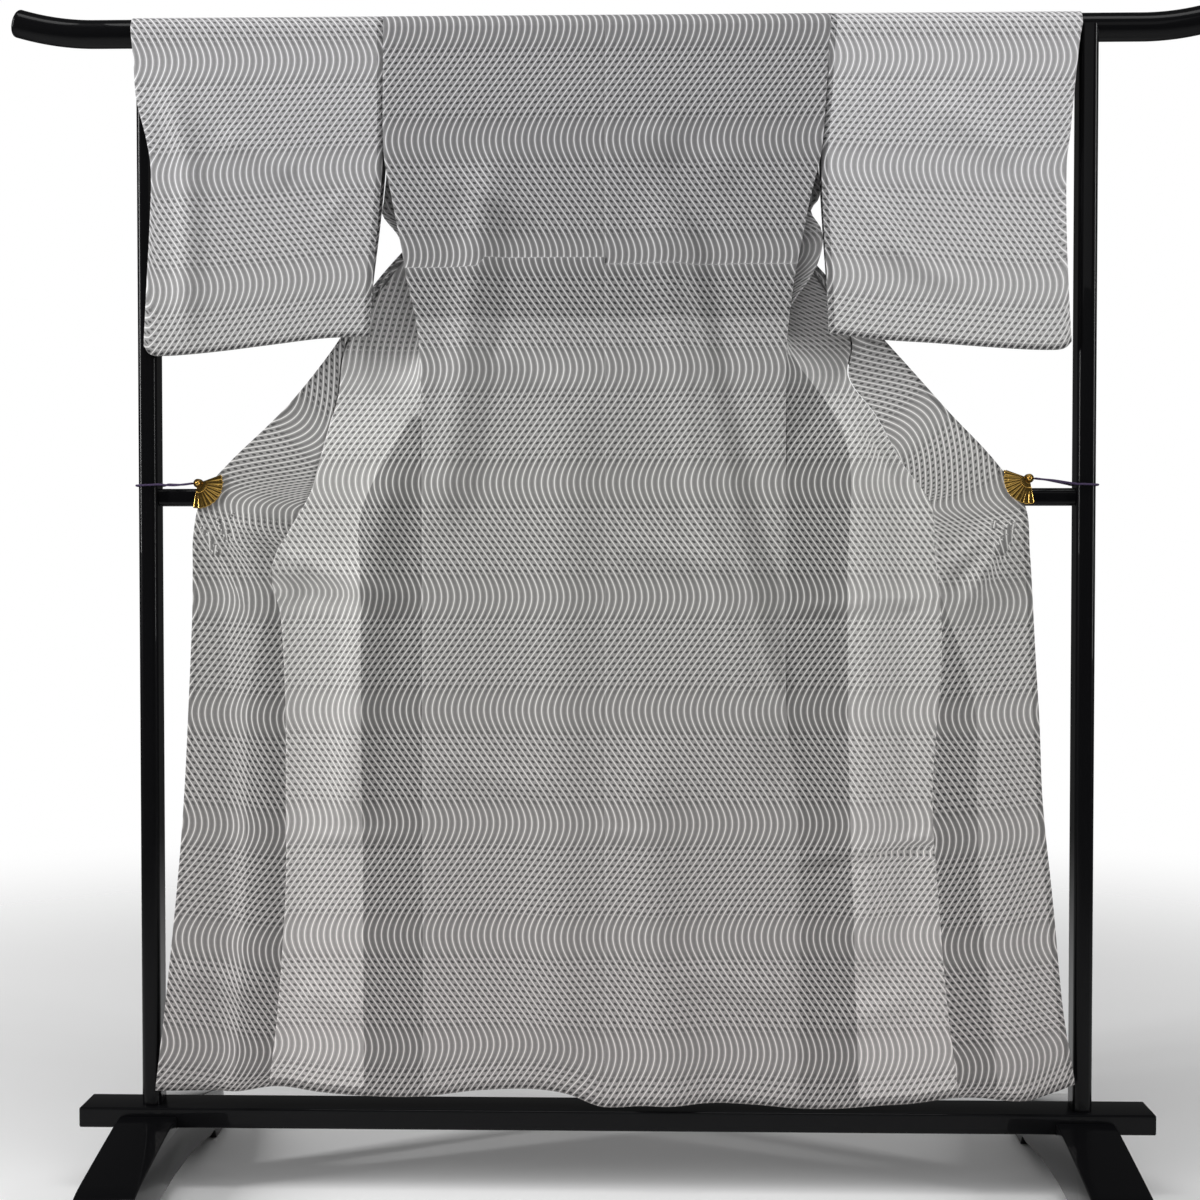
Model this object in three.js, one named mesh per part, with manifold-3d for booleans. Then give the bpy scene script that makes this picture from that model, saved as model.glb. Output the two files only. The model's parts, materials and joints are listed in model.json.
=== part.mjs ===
// An unlined silk kimono hung on a black lacquered kimono stand, its back to the front of the stand.
// The top rail runs through both sleeves. The fronts are drawn out sideways, past the side seams,
// and a gilt fan clip on an elastic cord holds each front edge beside its post.
// Millimetres, +Z up. The stand stands on z = 0 and the garment's back faces -Y.
import * as THREE from 'three';
import { mergeVertices } from 'three/addons/utils/BufferGeometryUtils.js';
import Module from 'manifold-3d';

const wasm = await Module();
wasm.setup();

// ---- Stand sizes -----------------------------------------------------------------------------
const GAP = 0.3; // between pieces that touch

const RAIL = { radius: 20.5, z: 1717, half: 888, straight: 770, tipRise: 18, sides: 20 };
const POST = { x: 691, width: 28, depth: 45, corner: 9 };
const MID_RAIL = { z: 1031, height: 26, depth: 24, corner: 8 };
const BOARD = { length: 1590, depth: 70, top: 125, thickness: 30, corner: 3 };
const FOOT = { width: 85 };
const FOOT_PROFILE = [
  // y outward from the middle of the foot, z: top line from the board's seat to the toe
  { y: 35.3, z: 112 },
  { y: 60, z: 110 },
  { y: 150, z: 93 },
  { y: 238, z: 75 },
  { y: 257, z: 68 },
  { y: 265, z: 56 },
  { y: 265, z: 5 },
  { y: 261, z: 0 },
  { y: 212, z: 0 },
  { y: 206, z: 7 },
  { y: 198, z: 17 },
  { y: 180, z: 15 },
  { y: 120, z: 21 },
  { y: 50, z: 28 },
];

// ---- Cloth sizes -----------------------------------------------------------------------------
const CLOTH = 1.4; // wall of every silk piece
const SEAM_GAP = 0.3; // from each cut edge to its seam line, twice that less a hair between pieces
const SEAM_TURN = 0.03; // added to it for each mm of fold, where the walls turn against each other
const CENTRE_X = -13.5; // the centre back seam hangs this far left of the stand's middle
const WRAP = { depth: 24.4, rise: 22.6 }; // outer half sizes of the cloth's turn over the rail
const HEM_LEVEL = 145; // nominal hem height, before the hem's own line
const HEM_EASE = 300; // height at which the hem's line has faded out
const HEM_MIN = 129;

// Heights of the woven rows of the body, rail to hem.
const BODY_ROWS = [
  1717, 1665, 1600, 1531, 1470, 1448, 1422, 1398, 1358, 1300, 1255, 1210, 1165, 1115, 1056, 1000, 935, 870, 790, 700,
  600, 500, 400, 300, 215, HEM_LEVEL,
];
const RAIL_TURN = [30, 60, 90, 120, 150]; // degrees round the rail, from the back's side
const OKUMI_TOP = 1398; // the okumi's point
const BODY_COLUMNS = 10;
const OKUMI_COLUMNS = 4;
const SLEEVE_COLUMNS = 10;
const COLLAR_COLUMNS = 3;

// A table is a list of rows with named columns, in falling or rising order of its key.
// at(rows, key, column, value) reads it with a smooth curve through them.
function at(rows, key, column, value) {
  const rising = rows[rows.length - 1][key] > rows[0][key];
  let i = 0;
  while (i < rows.length - 2 && (rising ? value > rows[i + 1][key] : value < rows[i + 1][key])) i += 1;
  const a = rows[i];
  const b = rows[i + 1];
  const t = Math.min(1, Math.max(0, (value - a[key]) / (b[key] - a[key])));
  const before = rows[i - 1] ?? a;
  const after = rows[i + 2] ?? b;
  const span = b[key] - a[key];
  const slopeA = before === a ? b[column] - a[column] : ((b[column] - before[column]) * span) / (b[key] - before[key]);
  const slopeB = after === b ? b[column] - a[column] : ((after[column] - a[column]) * span) / (after[key] - a[key]);
  const t2 = t * t;
  const t3 = t2 * t;
  return (
    a[column] * (2 * t3 - 3 * t2 + 1) + slopeA * (t3 - 2 * t2 + t) + b[column] * (3 * t2 - 2 * t3) + slopeB * (t3 - t2)
  );
}

// Sections of each half of the body below the shoulder, from the rail down. Columns:
// z height; back: side edge of the back, out from the centre seam; side: front's side edge;
// seam: front to okumi; outer: free front edge; ySide, yEdge: depth of the front at its two edges;
// foldIn, foldBack: how far the slack of the front loops in and back behind the back panel.
const LEFT_SECTIONS = [
  { z: 1717, back: 325, side: 325, seam: 36, outer: 36, ySide: 24.4, yEdge: 24.4, foldIn: 0, foldBack: 0 },
  { z: 1665, back: 325, side: 325, seam: 78, outer: 78, ySide: 24.4, yEdge: 20.6, foldIn: 3, foldBack: 3 },
  { z: 1600, back: 325, side: 325, seam: 132, outer: 132, ySide: 24.4, yEdge: 15.8, foldIn: 3, foldBack: 3 },
  { z: 1531, back: 323.5, side: 325, seam: 188, outer: 188, ySide: 19, yEdge: 10.7, foldIn: 3, foldBack: 3 },
  { z: 1468, back: 312, side: 328.5, seam: 235, outer: 240, ySide: 2, yEdge: 6, foldIn: 8, foldBack: 7 },
  { z: 1447, back: 308, side: 329, seam: 249, outer: 255, ySide: -6, yEdge: 4.5, foldIn: 26, foldBack: 16 },
  { z: 1416, back: 302, side: 305, seam: 272, outer: 280, ySide: -17, yEdge: 2.2, foldIn: 56, foldBack: 31 },
  { z: 1398, back: 298.5, side: 299, seam: 288, outer: 297, ySide: -19.5, yEdge: 0.8, foldIn: 68, foldBack: 37 },
  { z: 1348, back: 290, side: 290, seam: 327, outer: 340, ySide: -19.5, yEdge: -2.8, foldIn: 72, foldBack: 40 },
  { z: 1291, back: 277, side: 277, seam: 367, outer: 376, ySide: -19.5, yEdge: -7, foldIn: 58, foldBack: 36 },
  { z: 1244, back: 272, side: 272, seam: 388, outer: 407, ySide: -19.6, yEdge: -10.5, foldIn: 44, foldBack: 24 },
  { z: 1181, back: 269.5, side: 269.5, seam: 396, outer: 456, ySide: -20.5, yEdge: -15.2, foldIn: 26, foldBack: 12 },
  { z: 1140, back: 269, side: 269, seam: 406, outer: 494, ySide: -22, yEdge: -18.2, foldIn: 14, foldBack: 6 },
  { z: 1079, back: 269, side: 269, seam: 421, outer: 555, ySide: -24, yEdge: -24.4, foldIn: 3, foldBack: 1 },
  { z: 1035, back: 269, side: 269, seam: 434, outer: 592, ySide: -24.4, yEdge: -24.4, foldIn: 0, foldBack: 0 },
  { z: 975, back: 269, side: 269, seam: 468, outer: 607, ySide: -24.4, yEdge: -24.4, foldIn: 0, foldBack: 0 },
  { z: 925, back: 269, side: 269, seam: 488, outer: 609, ySide: -24.4, yEdge: -24.4, foldIn: 0, foldBack: 0 },
  { z: 854, back: 269, side: 269, seam: 476, outer: 610, ySide: -24.4, yEdge: -24.4, foldIn: 0, foldBack: 0 },
  { z: 732, back: 269, side: 269, seam: 470, outer: 615, ySide: -24.4, yEdge: -24.4, foldIn: 0, foldBack: 0 },
  { z: 585, back: 269, side: 269, seam: 470, outer: 623, ySide: -24.4, yEdge: -24.4, foldIn: 0, foldBack: 0 },
  { z: 453, back: 269, side: 269, seam: 471, outer: 634, ySide: -24.4, yEdge: -24.4, foldIn: 0, foldBack: 0 },
  { z: 285, back: 269, side: 269, seam: 482, outer: 652, ySide: -24.4, yEdge: -24.4, foldIn: 0, foldBack: 0 },
  { z: 145, back: 269, side: 269, seam: 496, outer: 668, ySide: -24.4, yEdge: -24.4, foldIn: 0, foldBack: 0 },
];
const RIGHT_SECTIONS = [
  { z: 1717, back: 329, side: 329, seam: 15, outer: 15, ySide: 24.4, yEdge: 24.4, foldIn: 0, foldBack: 0 },
  { z: 1665, back: 325, side: 325, seam: 57, outer: 57, ySide: 24.4, yEdge: 20.6, foldIn: 3, foldBack: 3 },
  { z: 1600, back: 321, side: 321, seam: 113, outer: 113, ySide: 24.4, yEdge: 15.8, foldIn: 3, foldBack: 3 },
  { z: 1531, back: 315, side: 315, seam: 171, outer: 171, ySide: 19, yEdge: 10.7, foldIn: 3, foldBack: 3 },
  { z: 1473, back: 301, side: 316, seam: 217, outer: 222, ySide: 3, yEdge: 6.2, foldIn: 8, foldBack: 7 },
  { z: 1450, back: 296, side: 302, seam: 236, outer: 242, ySide: -10, yEdge: 4.7, foldIn: 36, foldBack: 20 },
  { z: 1423, back: 291, side: 316, seam: 259, outer: 266, ySide: -18.5, yEdge: 2.8, foldIn: 64, foldBack: 34 },
  { z: 1398, back: 286, side: 318, seam: 279, outer: 288, ySide: -19.5, yEdge: 1, foldIn: 72, foldBack: 37 },
  { z: 1360, back: 278.5, side: 306, seam: 309, outer: 322, ySide: -19.5, yEdge: -1.9, foldIn: 68, foldBack: 37 },
  { z: 1306, back: 270.6, side: 270.6, seam: 344, outer: 370, ySide: -19.5, yEdge: -6, foldIn: 58, foldBack: 38 },
  { z: 1259, back: 266, side: 266, seam: 363, outer: 412, ySide: -19.6, yEdge: -9.4, foldIn: 44, foldBack: 26 },
  { z: 1206, back: 264.7, side: 264.7, seam: 359, outer: 459, ySide: -20.5, yEdge: -13.3, foldIn: 30, foldBack: 14 },
  { z: 1151, back: 264.7, side: 264.7, seam: 397, outer: 507, ySide: -22, yEdge: -17.4, foldIn: 14, foldBack: 6 },
  { z: 1078, back: 264.7, side: 264.7, seam: 436, outer: 572, ySide: -24, yEdge: -24.4, foldIn: 3, foldBack: 1 },
  { z: 1019, back: 264.7, side: 264.7, seam: 476, outer: 612, ySide: -24.4, yEdge: -24.4, foldIn: 0, foldBack: 0 },
  { z: 948, back: 264.7, side: 264.7, seam: 482, outer: 620, ySide: -24.4, yEdge: -24.4, foldIn: 0, foldBack: 0 },
  { z: 888, back: 264.7, side: 264.7, seam: 489, outer: 624, ySide: -24.4, yEdge: -24.4, foldIn: 0, foldBack: 0 },
  { z: 798, back: 264.7, side: 264.7, seam: 493, outer: 629, ySide: -24.4, yEdge: -24.4, foldIn: 0, foldBack: 0 },
  { z: 700, back: 268, side: 268, seam: 486, outer: 635, ySide: -24.4, yEdge: -24.4, foldIn: 0, foldBack: 0 },
  { z: 585, back: 283, side: 283, seam: 480, outer: 640, ySide: -24.4, yEdge: -24.4, foldIn: 0, foldBack: 0 },
  { z: 435, back: 286, side: 286, seam: 490, outer: 656, ySide: -24.4, yEdge: -24.4, foldIn: 0, foldBack: 0 },
  { z: 285, back: 286.5, side: 286.5, seam: 503, outer: 671, ySide: -24.4, yEdge: -24.4, foldIn: 0, foldBack: 0 },
  { z: 145, back: 287, side: 287, seam: 521, outer: 690, ySide: -24.4, yEdge: -24.4, foldIn: 0, foldBack: 0 },
];

// The hem's own height, along x from the centre seam.
const HEM_LINE = [
  { x: -668, z: 150 },
  { x: -560, z: 150 },
  { x: -496, z: 160 },
  { x: -420, z: 150 },
  { x: -350, z: 144 },
  { x: -269, z: 144 },
  { x: -182, z: 154 },
  { x: -110, z: 156 },
  { x: -55, z: 149 },
  { x: -2, z: 131 },
  { x: 74, z: 136 },
  { x: 150, z: 138 },
  { x: 224, z: 135 },
  { x: 286, z: 130 },
  { x: 332, z: 130 },
  { x: 400, z: 135 },
  { x: 450, z: 138 },
  { x: 520, z: 148 },
  { x: 614, z: 148 },
  { x: 662, z: 159 },
  { x: 690, z: 169 },
];

// The largest soft folds of the hanging cloth. Each runs top, mid, low; a ridge has a positive rise.
const FOLDS = [
  { xTop: 112, zTop: 1600, xMid: 178, zMid: 1173, xLow: 266, zLow: 700, width: 24, rise: -9 },
  { xTop: 76, zTop: 1500, xMid: 140, zMid: 1080, xLow: 250, zLow: 600, width: 34, rise: 8 },
  { xTop: -160, zTop: 1560, xMid: -208, zMid: 1200, xLow: -238, zLow: 960, width: 28, rise: 7 },
  { xTop: -40, zTop: 1250, xMid: -62, zMid: 800, xLow: -70, zLow: 150, width: 46, rise: 6 },
  { xTop: 60, zTop: 700, xMid: 75, zMid: 400, xLow: 100, zLow: 110, width: 40, rise: 7 },
  { xTop: -300, zTop: 1120, xMid: -345, zMid: 900, xLow: -380, zLow: 500, width: 30, rise: 7 },
  { xTop: -520, zTop: 1060, xMid: -500, zMid: 700, xLow: -520, zLow: 110, width: 36, rise: 6 },
  { xTop: -600, zTop: 1000, xMid: -560, zMid: 600, xLow: -590, zLow: 110, width: 30, rise: -4 },
  { xTop: 606, zTop: 1012, xMid: 566, zMid: 960, xLow: 520, zLow: 840, width: 22, rise: 8 },
  { xTop: 400, zTop: 1260, xMid: 410, zMid: 1120, xLow: 470, zLow: 980, width: 20, rise: -5 },
  { xTop: 350, zTop: 1250, xMid: 380, zMid: 900, xLow: 380, zLow: 300, width: 34, rise: 8 },
  { xTop: 560, zTop: 760, xMid: 580, zMid: 450, xLow: 610, zLow: 110, width: 36, rise: 5 },
  { xTop: -640, zTop: 1700, xMid: -628, zMid: 1480, xLow: -620, zLow: 1230, width: 20, rise: 4 },
  { xTop: -365, zTop: 1510, xMid: -400, zMid: 1450, xLow: -450, zLow: 1380, width: 22, rise: 5 },
  { xTop: 370, zTop: 1520, xMid: 420, zMid: 1420, xLow: 495, zLow: 1320, width: 22, rise: 5 },
];
const FOLD_FADE = 110; // height over which a fold dies away at its ends
const BASE_RISE = 6; // the hanging cloth stands this far forward of the rail's face, between folds
const WING_LEVEL = 1165; // the drawn-out fronts come forward to the back's plane below this height
const WING_EASE = 80;

// Sleeves, rail down: inner edge, outer edge of the near layer, and outer edge of the far layer,
// which draws in past the post so that the post stands in the open cuff.
const LEFT_SLEEVE = [
  { z: 1717, inner: 325, outer: 697, far: 697 },
  { z: 1700, inner: 325, outer: 695.5, far: 688 },
  { z: 1685, inner: 325, outer: 694, far: 672 },
  { z: 1668, inner: 325, outer: 692.5, far: 659 },
  { z: 1615, inner: 325, outer: 688, far: 655 },
  { z: 1556, inner: 325, outer: 673.5, far: 656 },
  { z: 1512, inner: 326, outer: 667, far: 661 },
  { z: 1438, inner: 332, outer: 669, far: 669 },
  { z: 1335, inner: 342, outer: 675, far: 675 },
  { z: 1240, inner: 346, outer: 680, far: 680 },
];
const RIGHT_SLEEVE = [
  { z: 1717, inner: 329, outer: 693, far: 693 },
  { z: 1700, inner: 327.5, outer: 690, far: 688 },
  { z: 1685, inner: 326, outer: 688, far: 684 },
  { z: 1668, inner: 325, outer: 686, far: 680 },
  { z: 1600, inner: 321, outer: 679, far: 674 },
  { z: 1556, inner: 317, outer: 675, far: 671 },
  { z: 1519, inner: 315, outer: 670.5, far: 669 },
  { z: 1423, inner: 319, outer: 670.5, far: 670 },
  { z: 1320, inner: 325, outer: 675, far: 675 },
  { z: 1240, inner: 327, outer: 680, far: 680 },
];
// The bottom line of each sleeve, from its inner edge (0) to its rounded outer corner (1).
const LEFT_SLEEVE_FOOT = [
  { share: 0, z: 1266 },
  { share: 0.2, z: 1264 },
  { share: 0.45, z: 1254 },
  { share: 0.75, z: 1242 },
  { share: 0.93, z: 1238.5 },
  { share: 0.975, z: 1242 },
  { share: 1, z: 1254 },
];
const RIGHT_SLEEVE_FOOT = [
  { share: 0, z: 1269 },
  { share: 0.2, z: 1260 },
  { share: 0.45, z: 1254 },
  { share: 0.75, z: 1246 },
  { share: 0.93, z: 1244 },
  { share: 0.975, z: 1247 },
  { share: 1, z: 1256 },
];
const CUFF_FOOT = 1512; // the cuff is open above this height
const SLEEVE_ROWS = [1717, 1700, 1685, 1668, 1615, 1556, 1512, 1470, 1400, 1320, 1240];
const SLEEVE_COLUMN_SHARES = [0, 0.1, 0.22, 0.35, 0.48, 0.6, 0.72, 0.83, 0.92, 0.975, 1];
const SLEEVE_FORWARD = 3.6; // the near layer comes this far forward at the cuff, clear of the post
const LAYERS_SEWN = 3.4; // outer face to outer face where two layers are sewn

// Collar: a doubled strip that lies behind the front edges and crosses the neck behind the rail.
const COLLAR = { width: 55, wall: 2, behind: 2, neckTop: 1722, neckSag: 8, narrowing: 0.1 };
const COLLAR_LEAN = [
  // lean: how steeply the strip leaves the front edge towards the far side; inset: how far inside it starts
  { z: 1717, lean: 0, inset: 0.5 },
  { z: 1640, lean: 0.2, inset: 3 },
  { z: 1531, lean: 0.8, inset: 5 },
  { z: 1468, lean: 1.2, inset: 5 },
  { z: 1398, lean: 0.9, inset: 3 },
  { z: 1291, lean: 0.75, inset: 2 },
  { z: 1218, lean: 0.45, inset: 1 },
  { z: 1144, lean: 0.22, inset: 1 },
  { z: 1079, lean: 0.03, inset: 1 },
  { z: 940, lean: 0, inset: 1 },
];
const COLLAR_NECK_ROWS = [1690, 1640, 1590, 1531, 1480];
const COLLAR_LEG_ROWS = [1398, 1348, 1300, 1255, 1210, 1165, 1115, 1075, 1035, 990, 945];

// Clips and cords
const CLIP = {
  radius: 37,
  sweep: 122,
  ribs: 10,
  leafFront: -35.6,
  leafBack: -32.4,
  jawFront: -25,
  jawBack: -23.2,
  hub: 7,
  knob: 4.2,
  knobBase: 6.6,
  knobProud: 2.4,
};
const CLIP_PLACES = [
  { name: 'left', x: -612, z: 1051, start: 20, turn: -1 },
  { name: 'right', x: 604, z: 1057, start: 160, turn: 1 },
];
const CORD = { radius: 1.5, sides: 8, steps: 40 };

// ---- Materials -------------------------------------------------------------------------------
const silk = (name, color) => new THREE.MeshStandardMaterial({ name, color, roughness: 0.75, metalness: 0 });
const lacquer = () => new THREE.MeshStandardMaterial({ name: 'black lacquer', color: 0x050506, roughness: 0.08 });
const gilt = () => new THREE.MeshStandardMaterial({ name: 'gilt brass', color: 0xb5852e, roughness: 0.25, metalness: 1 });
const elastic = () => new THREE.MeshStandardMaterial({ name: 'elastic cord', color: 0x1a1230, roughness: 0.8 });

const part = new THREE.Group();

function addPiece(name, geometry, material) {
  const mesh = new THREE.Mesh(geometry, material);
  mesh.name = name;
  part.add(mesh);
}

// ---- Solids from rows of points --------------------------------------------------------------
// faces: triples of point numbers. The solid is turned to face outwards by its own volume.
function closedSolid(points, faces) {
  let volume = 0;
  for (const [a, b, c] of faces) volume += points[a].dot(new THREE.Vector3().crossVectors(points[b], points[c]));
  const order = volume < 0 ? [0, 2, 1] : [0, 1, 2];
  const geometry = new THREE.BufferGeometry();
  geometry.setAttribute('position', new THREE.Float32BufferAttribute(points.flatMap((p) => [p.x, p.y, p.z]), 3));
  geometry.setIndex(faces.flatMap((face) => order.map((k) => face[k])));
  return geometry;
}

// A wall of cloth: rows of points on its outer face, thickened inwards.
function clothSolid(rows, wall, flip) {
  const m = rows.length;
  const n = rows[0].length;
  const outer = [];
  const inner = [];
  for (let i = 0; i < m; i += 1) {
    for (let j = 0; j < n; j += 1) {
      const down = new THREE.Vector3().subVectors(rows[Math.min(i + 1, m - 1)][j], rows[Math.max(i - 1, 0)][j]);
      const across = new THREE.Vector3().subVectors(rows[i][Math.min(j + 1, n - 1)], rows[i][Math.max(j - 1, 0)]);
      const normal = new THREE.Vector3().crossVectors(down, across).normalize().multiplyScalar(flip * wall);
      outer.push(rows[i][j]);
      inner.push(rows[i][j].clone().sub(normal));
    }
  }
  const faces = [];
  const quad = (a, b, c, d) => faces.push([a, b, c], [a, c, d]);
  const near = (i, j) => i * n + j;
  const far = (i, j) => m * n + i * n + j;
  for (let i = 0; i < m - 1; i += 1) {
    for (let j = 0; j < n - 1; j += 1) {
      quad(near(i, j), near(i, j + 1), near(i + 1, j + 1), near(i + 1, j));
      quad(far(i, j), far(i + 1, j), far(i + 1, j + 1), far(i, j + 1));
    }
    quad(near(i, 0), near(i + 1, 0), far(i + 1, 0), far(i, 0));
    quad(near(i, n - 1), far(i, n - 1), far(i + 1, n - 1), near(i + 1, n - 1));
  }
  for (let j = 0; j < n - 1; j += 1) {
    quad(near(0, j), far(0, j), far(0, j + 1), near(0, j + 1));
    quad(near(m - 1, j), near(m - 1, j + 1), far(m - 1, j + 1), far(m - 1, j));
  }
  return closedSolid([...outer, ...inner], faces);
}

const mix = (a, b, t) => a + (b - a) * t;
const smooth = (t) => {
  const c = Math.min(1, Math.max(0, t));
  return c * c * (3 - 2 * c);
};

// ---- The garment's surfaces ------------------------------------------------------------------
// Forward rise of the hanging cloth at x, z from all its folds.
function foldRise(x, z) {
  let rise = 0;
  for (const f of FOLDS) {
    const line = [
      { z: f.zTop, x: f.xTop },
      { z: f.zMid, x: f.xMid },
      { z: f.zLow, x: f.xLow },
    ];
    const fade = smooth((f.zTop - z) / FOLD_FADE) * smooth((z - f.zLow) / FOLD_FADE + (f.zLow < HEM_LEVEL ? 1 : 0));
    const off = (x - at(line, 'z', 'x', z)) / f.width;
    rise += f.rise * fade * Math.exp(-off * off);
  }
  return rise;
}

// Height of a row at x: level above, following the hem's line at the bottom.
function rowHeight(x, z) {
  const drop = smooth((HEM_EASE - z) / (HEM_EASE - HEM_LEVEL));
  return z + (Math.max(HEM_MIN, at(HEM_LINE, 'x', 'z', x)) - HEM_LEVEL) * drop;
}

const place = (sign, u, y, z) => new THREE.Vector3(CENTRE_X + sign * u, y, z);

// Point of the back panel: share 0 at the centre seam, 1 at the side.
function backPoint(sections, sign, share, z) {
  const u = mix(SEAM_GAP / 2, at(sections, 'z', 'back', z) - SEAM_GAP, share);
  const clear = smooth((1700 - z) / 120);
  return place(sign, u, -WRAP.depth - Math.max(0, foldRise(sign * u, z) + BASE_RISE) * clear, rowHeight(sign * u, z));
}

// Point of the drawn-out front and okumi: share 0 at the side seam, 1 at the free edge.
function frontPoint(sections, sign, share, z) {
  const loop = Math.sin(Math.PI * share);
  const read = (column) => at(sections, 'z', column, z);
  const turned = Math.max(-1, Math.min(1, (read('outer') - read('side')) / 60));
  const u = mix(read('side') + SEAM_GAP * turned, read('outer'), share) - read('foldIn') * loop;
  const lift = Math.max(0, foldRise(sign * u, z) + BASE_RISE) * smooth((WING_LEVEL - z) / WING_EASE);
  const y = mix(read('ySide'), read('yEdge'), share) + read('foldBack') * loop - lift;
  return place(sign, u, y, rowHeight(sign * u, z));
}

// Share at which the okumi seam lies in a section.
function seamShare(sections, z) {
  const read = (column) => at(sections, 'z', column, z);
  if (z > OKUMI_TOP) return 1;
  let low = 0.4;
  let high = 1;
  for (let step = 0; step < 30; step += 1) {
    const mid = (low + high) / 2;
    const u = mix(read('side'), read('outer'), mid) - read('foldIn') * Math.sin(Math.PI * mid);
    if (u < read('seam')) low = mid;
    else high = mid;
  }
  return high;
}

function shareStep(sections, z) {
  const read = (column) => at(sections, 'z', column, z);
  const gap = SEAM_GAP + SEAM_TURN * read('foldIn');
  return gap / Math.max(60, Math.abs(read('outer') - read('side')) + Math.PI * read('foldIn'));
}

// One body piece: back from hem to rail, over the rail, and the front down to its hem.
function bodySolid(sections, sign) {
  const rows = [];
  const shares = Array.from({ length: BODY_COLUMNS + 1 }, (_, j) => j / BODY_COLUMNS);
  for (const z of [...BODY_ROWS].reverse()) rows.push(shares.map((s) => backPoint(sections, sign, s, z)));
  const neckIn = at(sections, 'z', 'outer', RAIL.z);
  const armhole = at(sections, 'z', 'side', RAIL.z) - SEAM_GAP;
  for (const turn of RAIL_TURN) {
    const angle = THREE.MathUtils.degToRad(turn);
    const y = -WRAP.depth * Math.cos(angle);
    const z = RAIL.z + WRAP.rise * Math.sin(angle);
    const inner = mix(SEAM_GAP / 2, neckIn, smooth((turn - 90) / 90));
    rows.push(shares.map((s) => place(sign, mix(inner, armhole, s), y, z)));
  }
  for (const z of BODY_ROWS) {
    const end = seamShare(sections, z);
    const last = end === 1 ? 1 : end - shareStep(sections, z);
    rows.push(shares.map((s) => frontPoint(sections, sign, (1 - s) * last, z)));
  }
  return clothSolid(rows, CLOTH, sign);
}

// The okumi: a long gore between the front and the free edge, pointed at its top.
function okumiSolid(sections, sign) {
  const rows = BODY_ROWS.filter((z) => z <= OKUMI_TOP).map((z) => {
    const start = seamShare(sections, z) + shareStep(sections, z);
    return Array.from({ length: OKUMI_COLUMNS + 1 }, (_, j) =>
      frontPoint(sections, sign, mix(start, 1, j / OKUMI_COLUMNS), z),
    );
  });
  return clothSolid(rows, CLOTH, -sign);
}

// A sleeve: one width of cloth folded over the rail, its two layers sewn at the foot and below the cuff.
function sleeveSolid(table, foot, sign) {
  const read = (column, z) => at(table, 'z', column, z);
  const nearY = (s, z) => -WRAP.depth - (SLEEVE_FORWARD + Math.max(0, foldRise(sign * mix(325, 690, s), z))) * smooth((RAIL.z - z) / 150);
  const rowZ = (s, z) => {
    const low = at(foot, 'share', 'z', s);
    return RAIL.z - (RAIL.z - low) * ((RAIL.z - z) / (RAIL.z - 1240));
  };
  const rows = [];
  for (const z of [...SLEEVE_ROWS].reverse()) {
    rows.push(
      SLEEVE_COLUMN_SHARES.map((s) => {
        const zs = rowZ(s, z);
        return place(sign, mix(read('inner', zs) + SEAM_GAP, read('outer', zs), s), nearY(s, zs), zs);
      }),
    );
  }
  for (const turn of RAIL_TURN) {
    const angle = THREE.MathUtils.degToRad(turn);
    rows.push(
      SLEEVE_COLUMN_SHARES.map((s) =>
        place(
          sign,
          mix(read('inner', RAIL.z) + SEAM_GAP, read('outer', RAIL.z), s),
          -WRAP.depth * Math.cos(angle),
          RAIL.z + WRAP.rise * Math.sin(angle),
        ),
      ),
    );
  }
  for (const z of SLEEVE_ROWS) {
    rows.push(
      SLEEVE_COLUMN_SHARES.map((s) => {
        const zs = rowZ(s, z);
        const low = at(foot, 'share', 'z', s);
        const close = mix(low, CUFF_FOOT, smooth((s - 0.72) / 0.28));
        const t = Math.min(1, (RAIL.z - zs) / (RAIL.z - close));
        const y = mix(WRAP.depth, nearY(s, zs) + LAYERS_SEWN, t ** mix(1.3, 3, smooth((s - 0.5) / 0.4)));
        return place(sign, mix(read('inner', zs) + SEAM_GAP, read('far', zs), s), y, zs);
      }),
    );
  }
  return clothSolid(rows, CLOTH, sign);
}

// Rows of the collar behind one front edge, from the top down.
function collarRows(sections, sign, heights) {
  return heights.map((z) => {
    const edge = frontPoint(sections, sign, 1, z);
    const ahead = frontPoint(sections, sign, 1, z + 20);
    const rise = new THREE.Vector2(Math.abs(ahead.x - edge.x), ahead.z - edge.z).normalize();
    const slant = z < 1040 ? mix(1, 0, smooth((z - 985) / 55)) : 0;
    const inward = mix(rise.y, 1, slant);
    const lean = at(COLLAR_LEAN, 'z', 'lean', z);
    const inset = at(COLLAR_LEAN, 'z', 'inset', z);
    return Array.from({ length: COLLAR_COLUMNS + 1 }, (_, j) => {
      const w = (COLLAR.width * j) / COLLAR_COLUMNS;
      return new THREE.Vector3(
        edge.x - sign * (inset + w * inward),
        edge.y + COLLAR.behind + lean * w,
        edge.z - w * rise.x * (1 - slant),
      );
    });
  });
}

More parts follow.
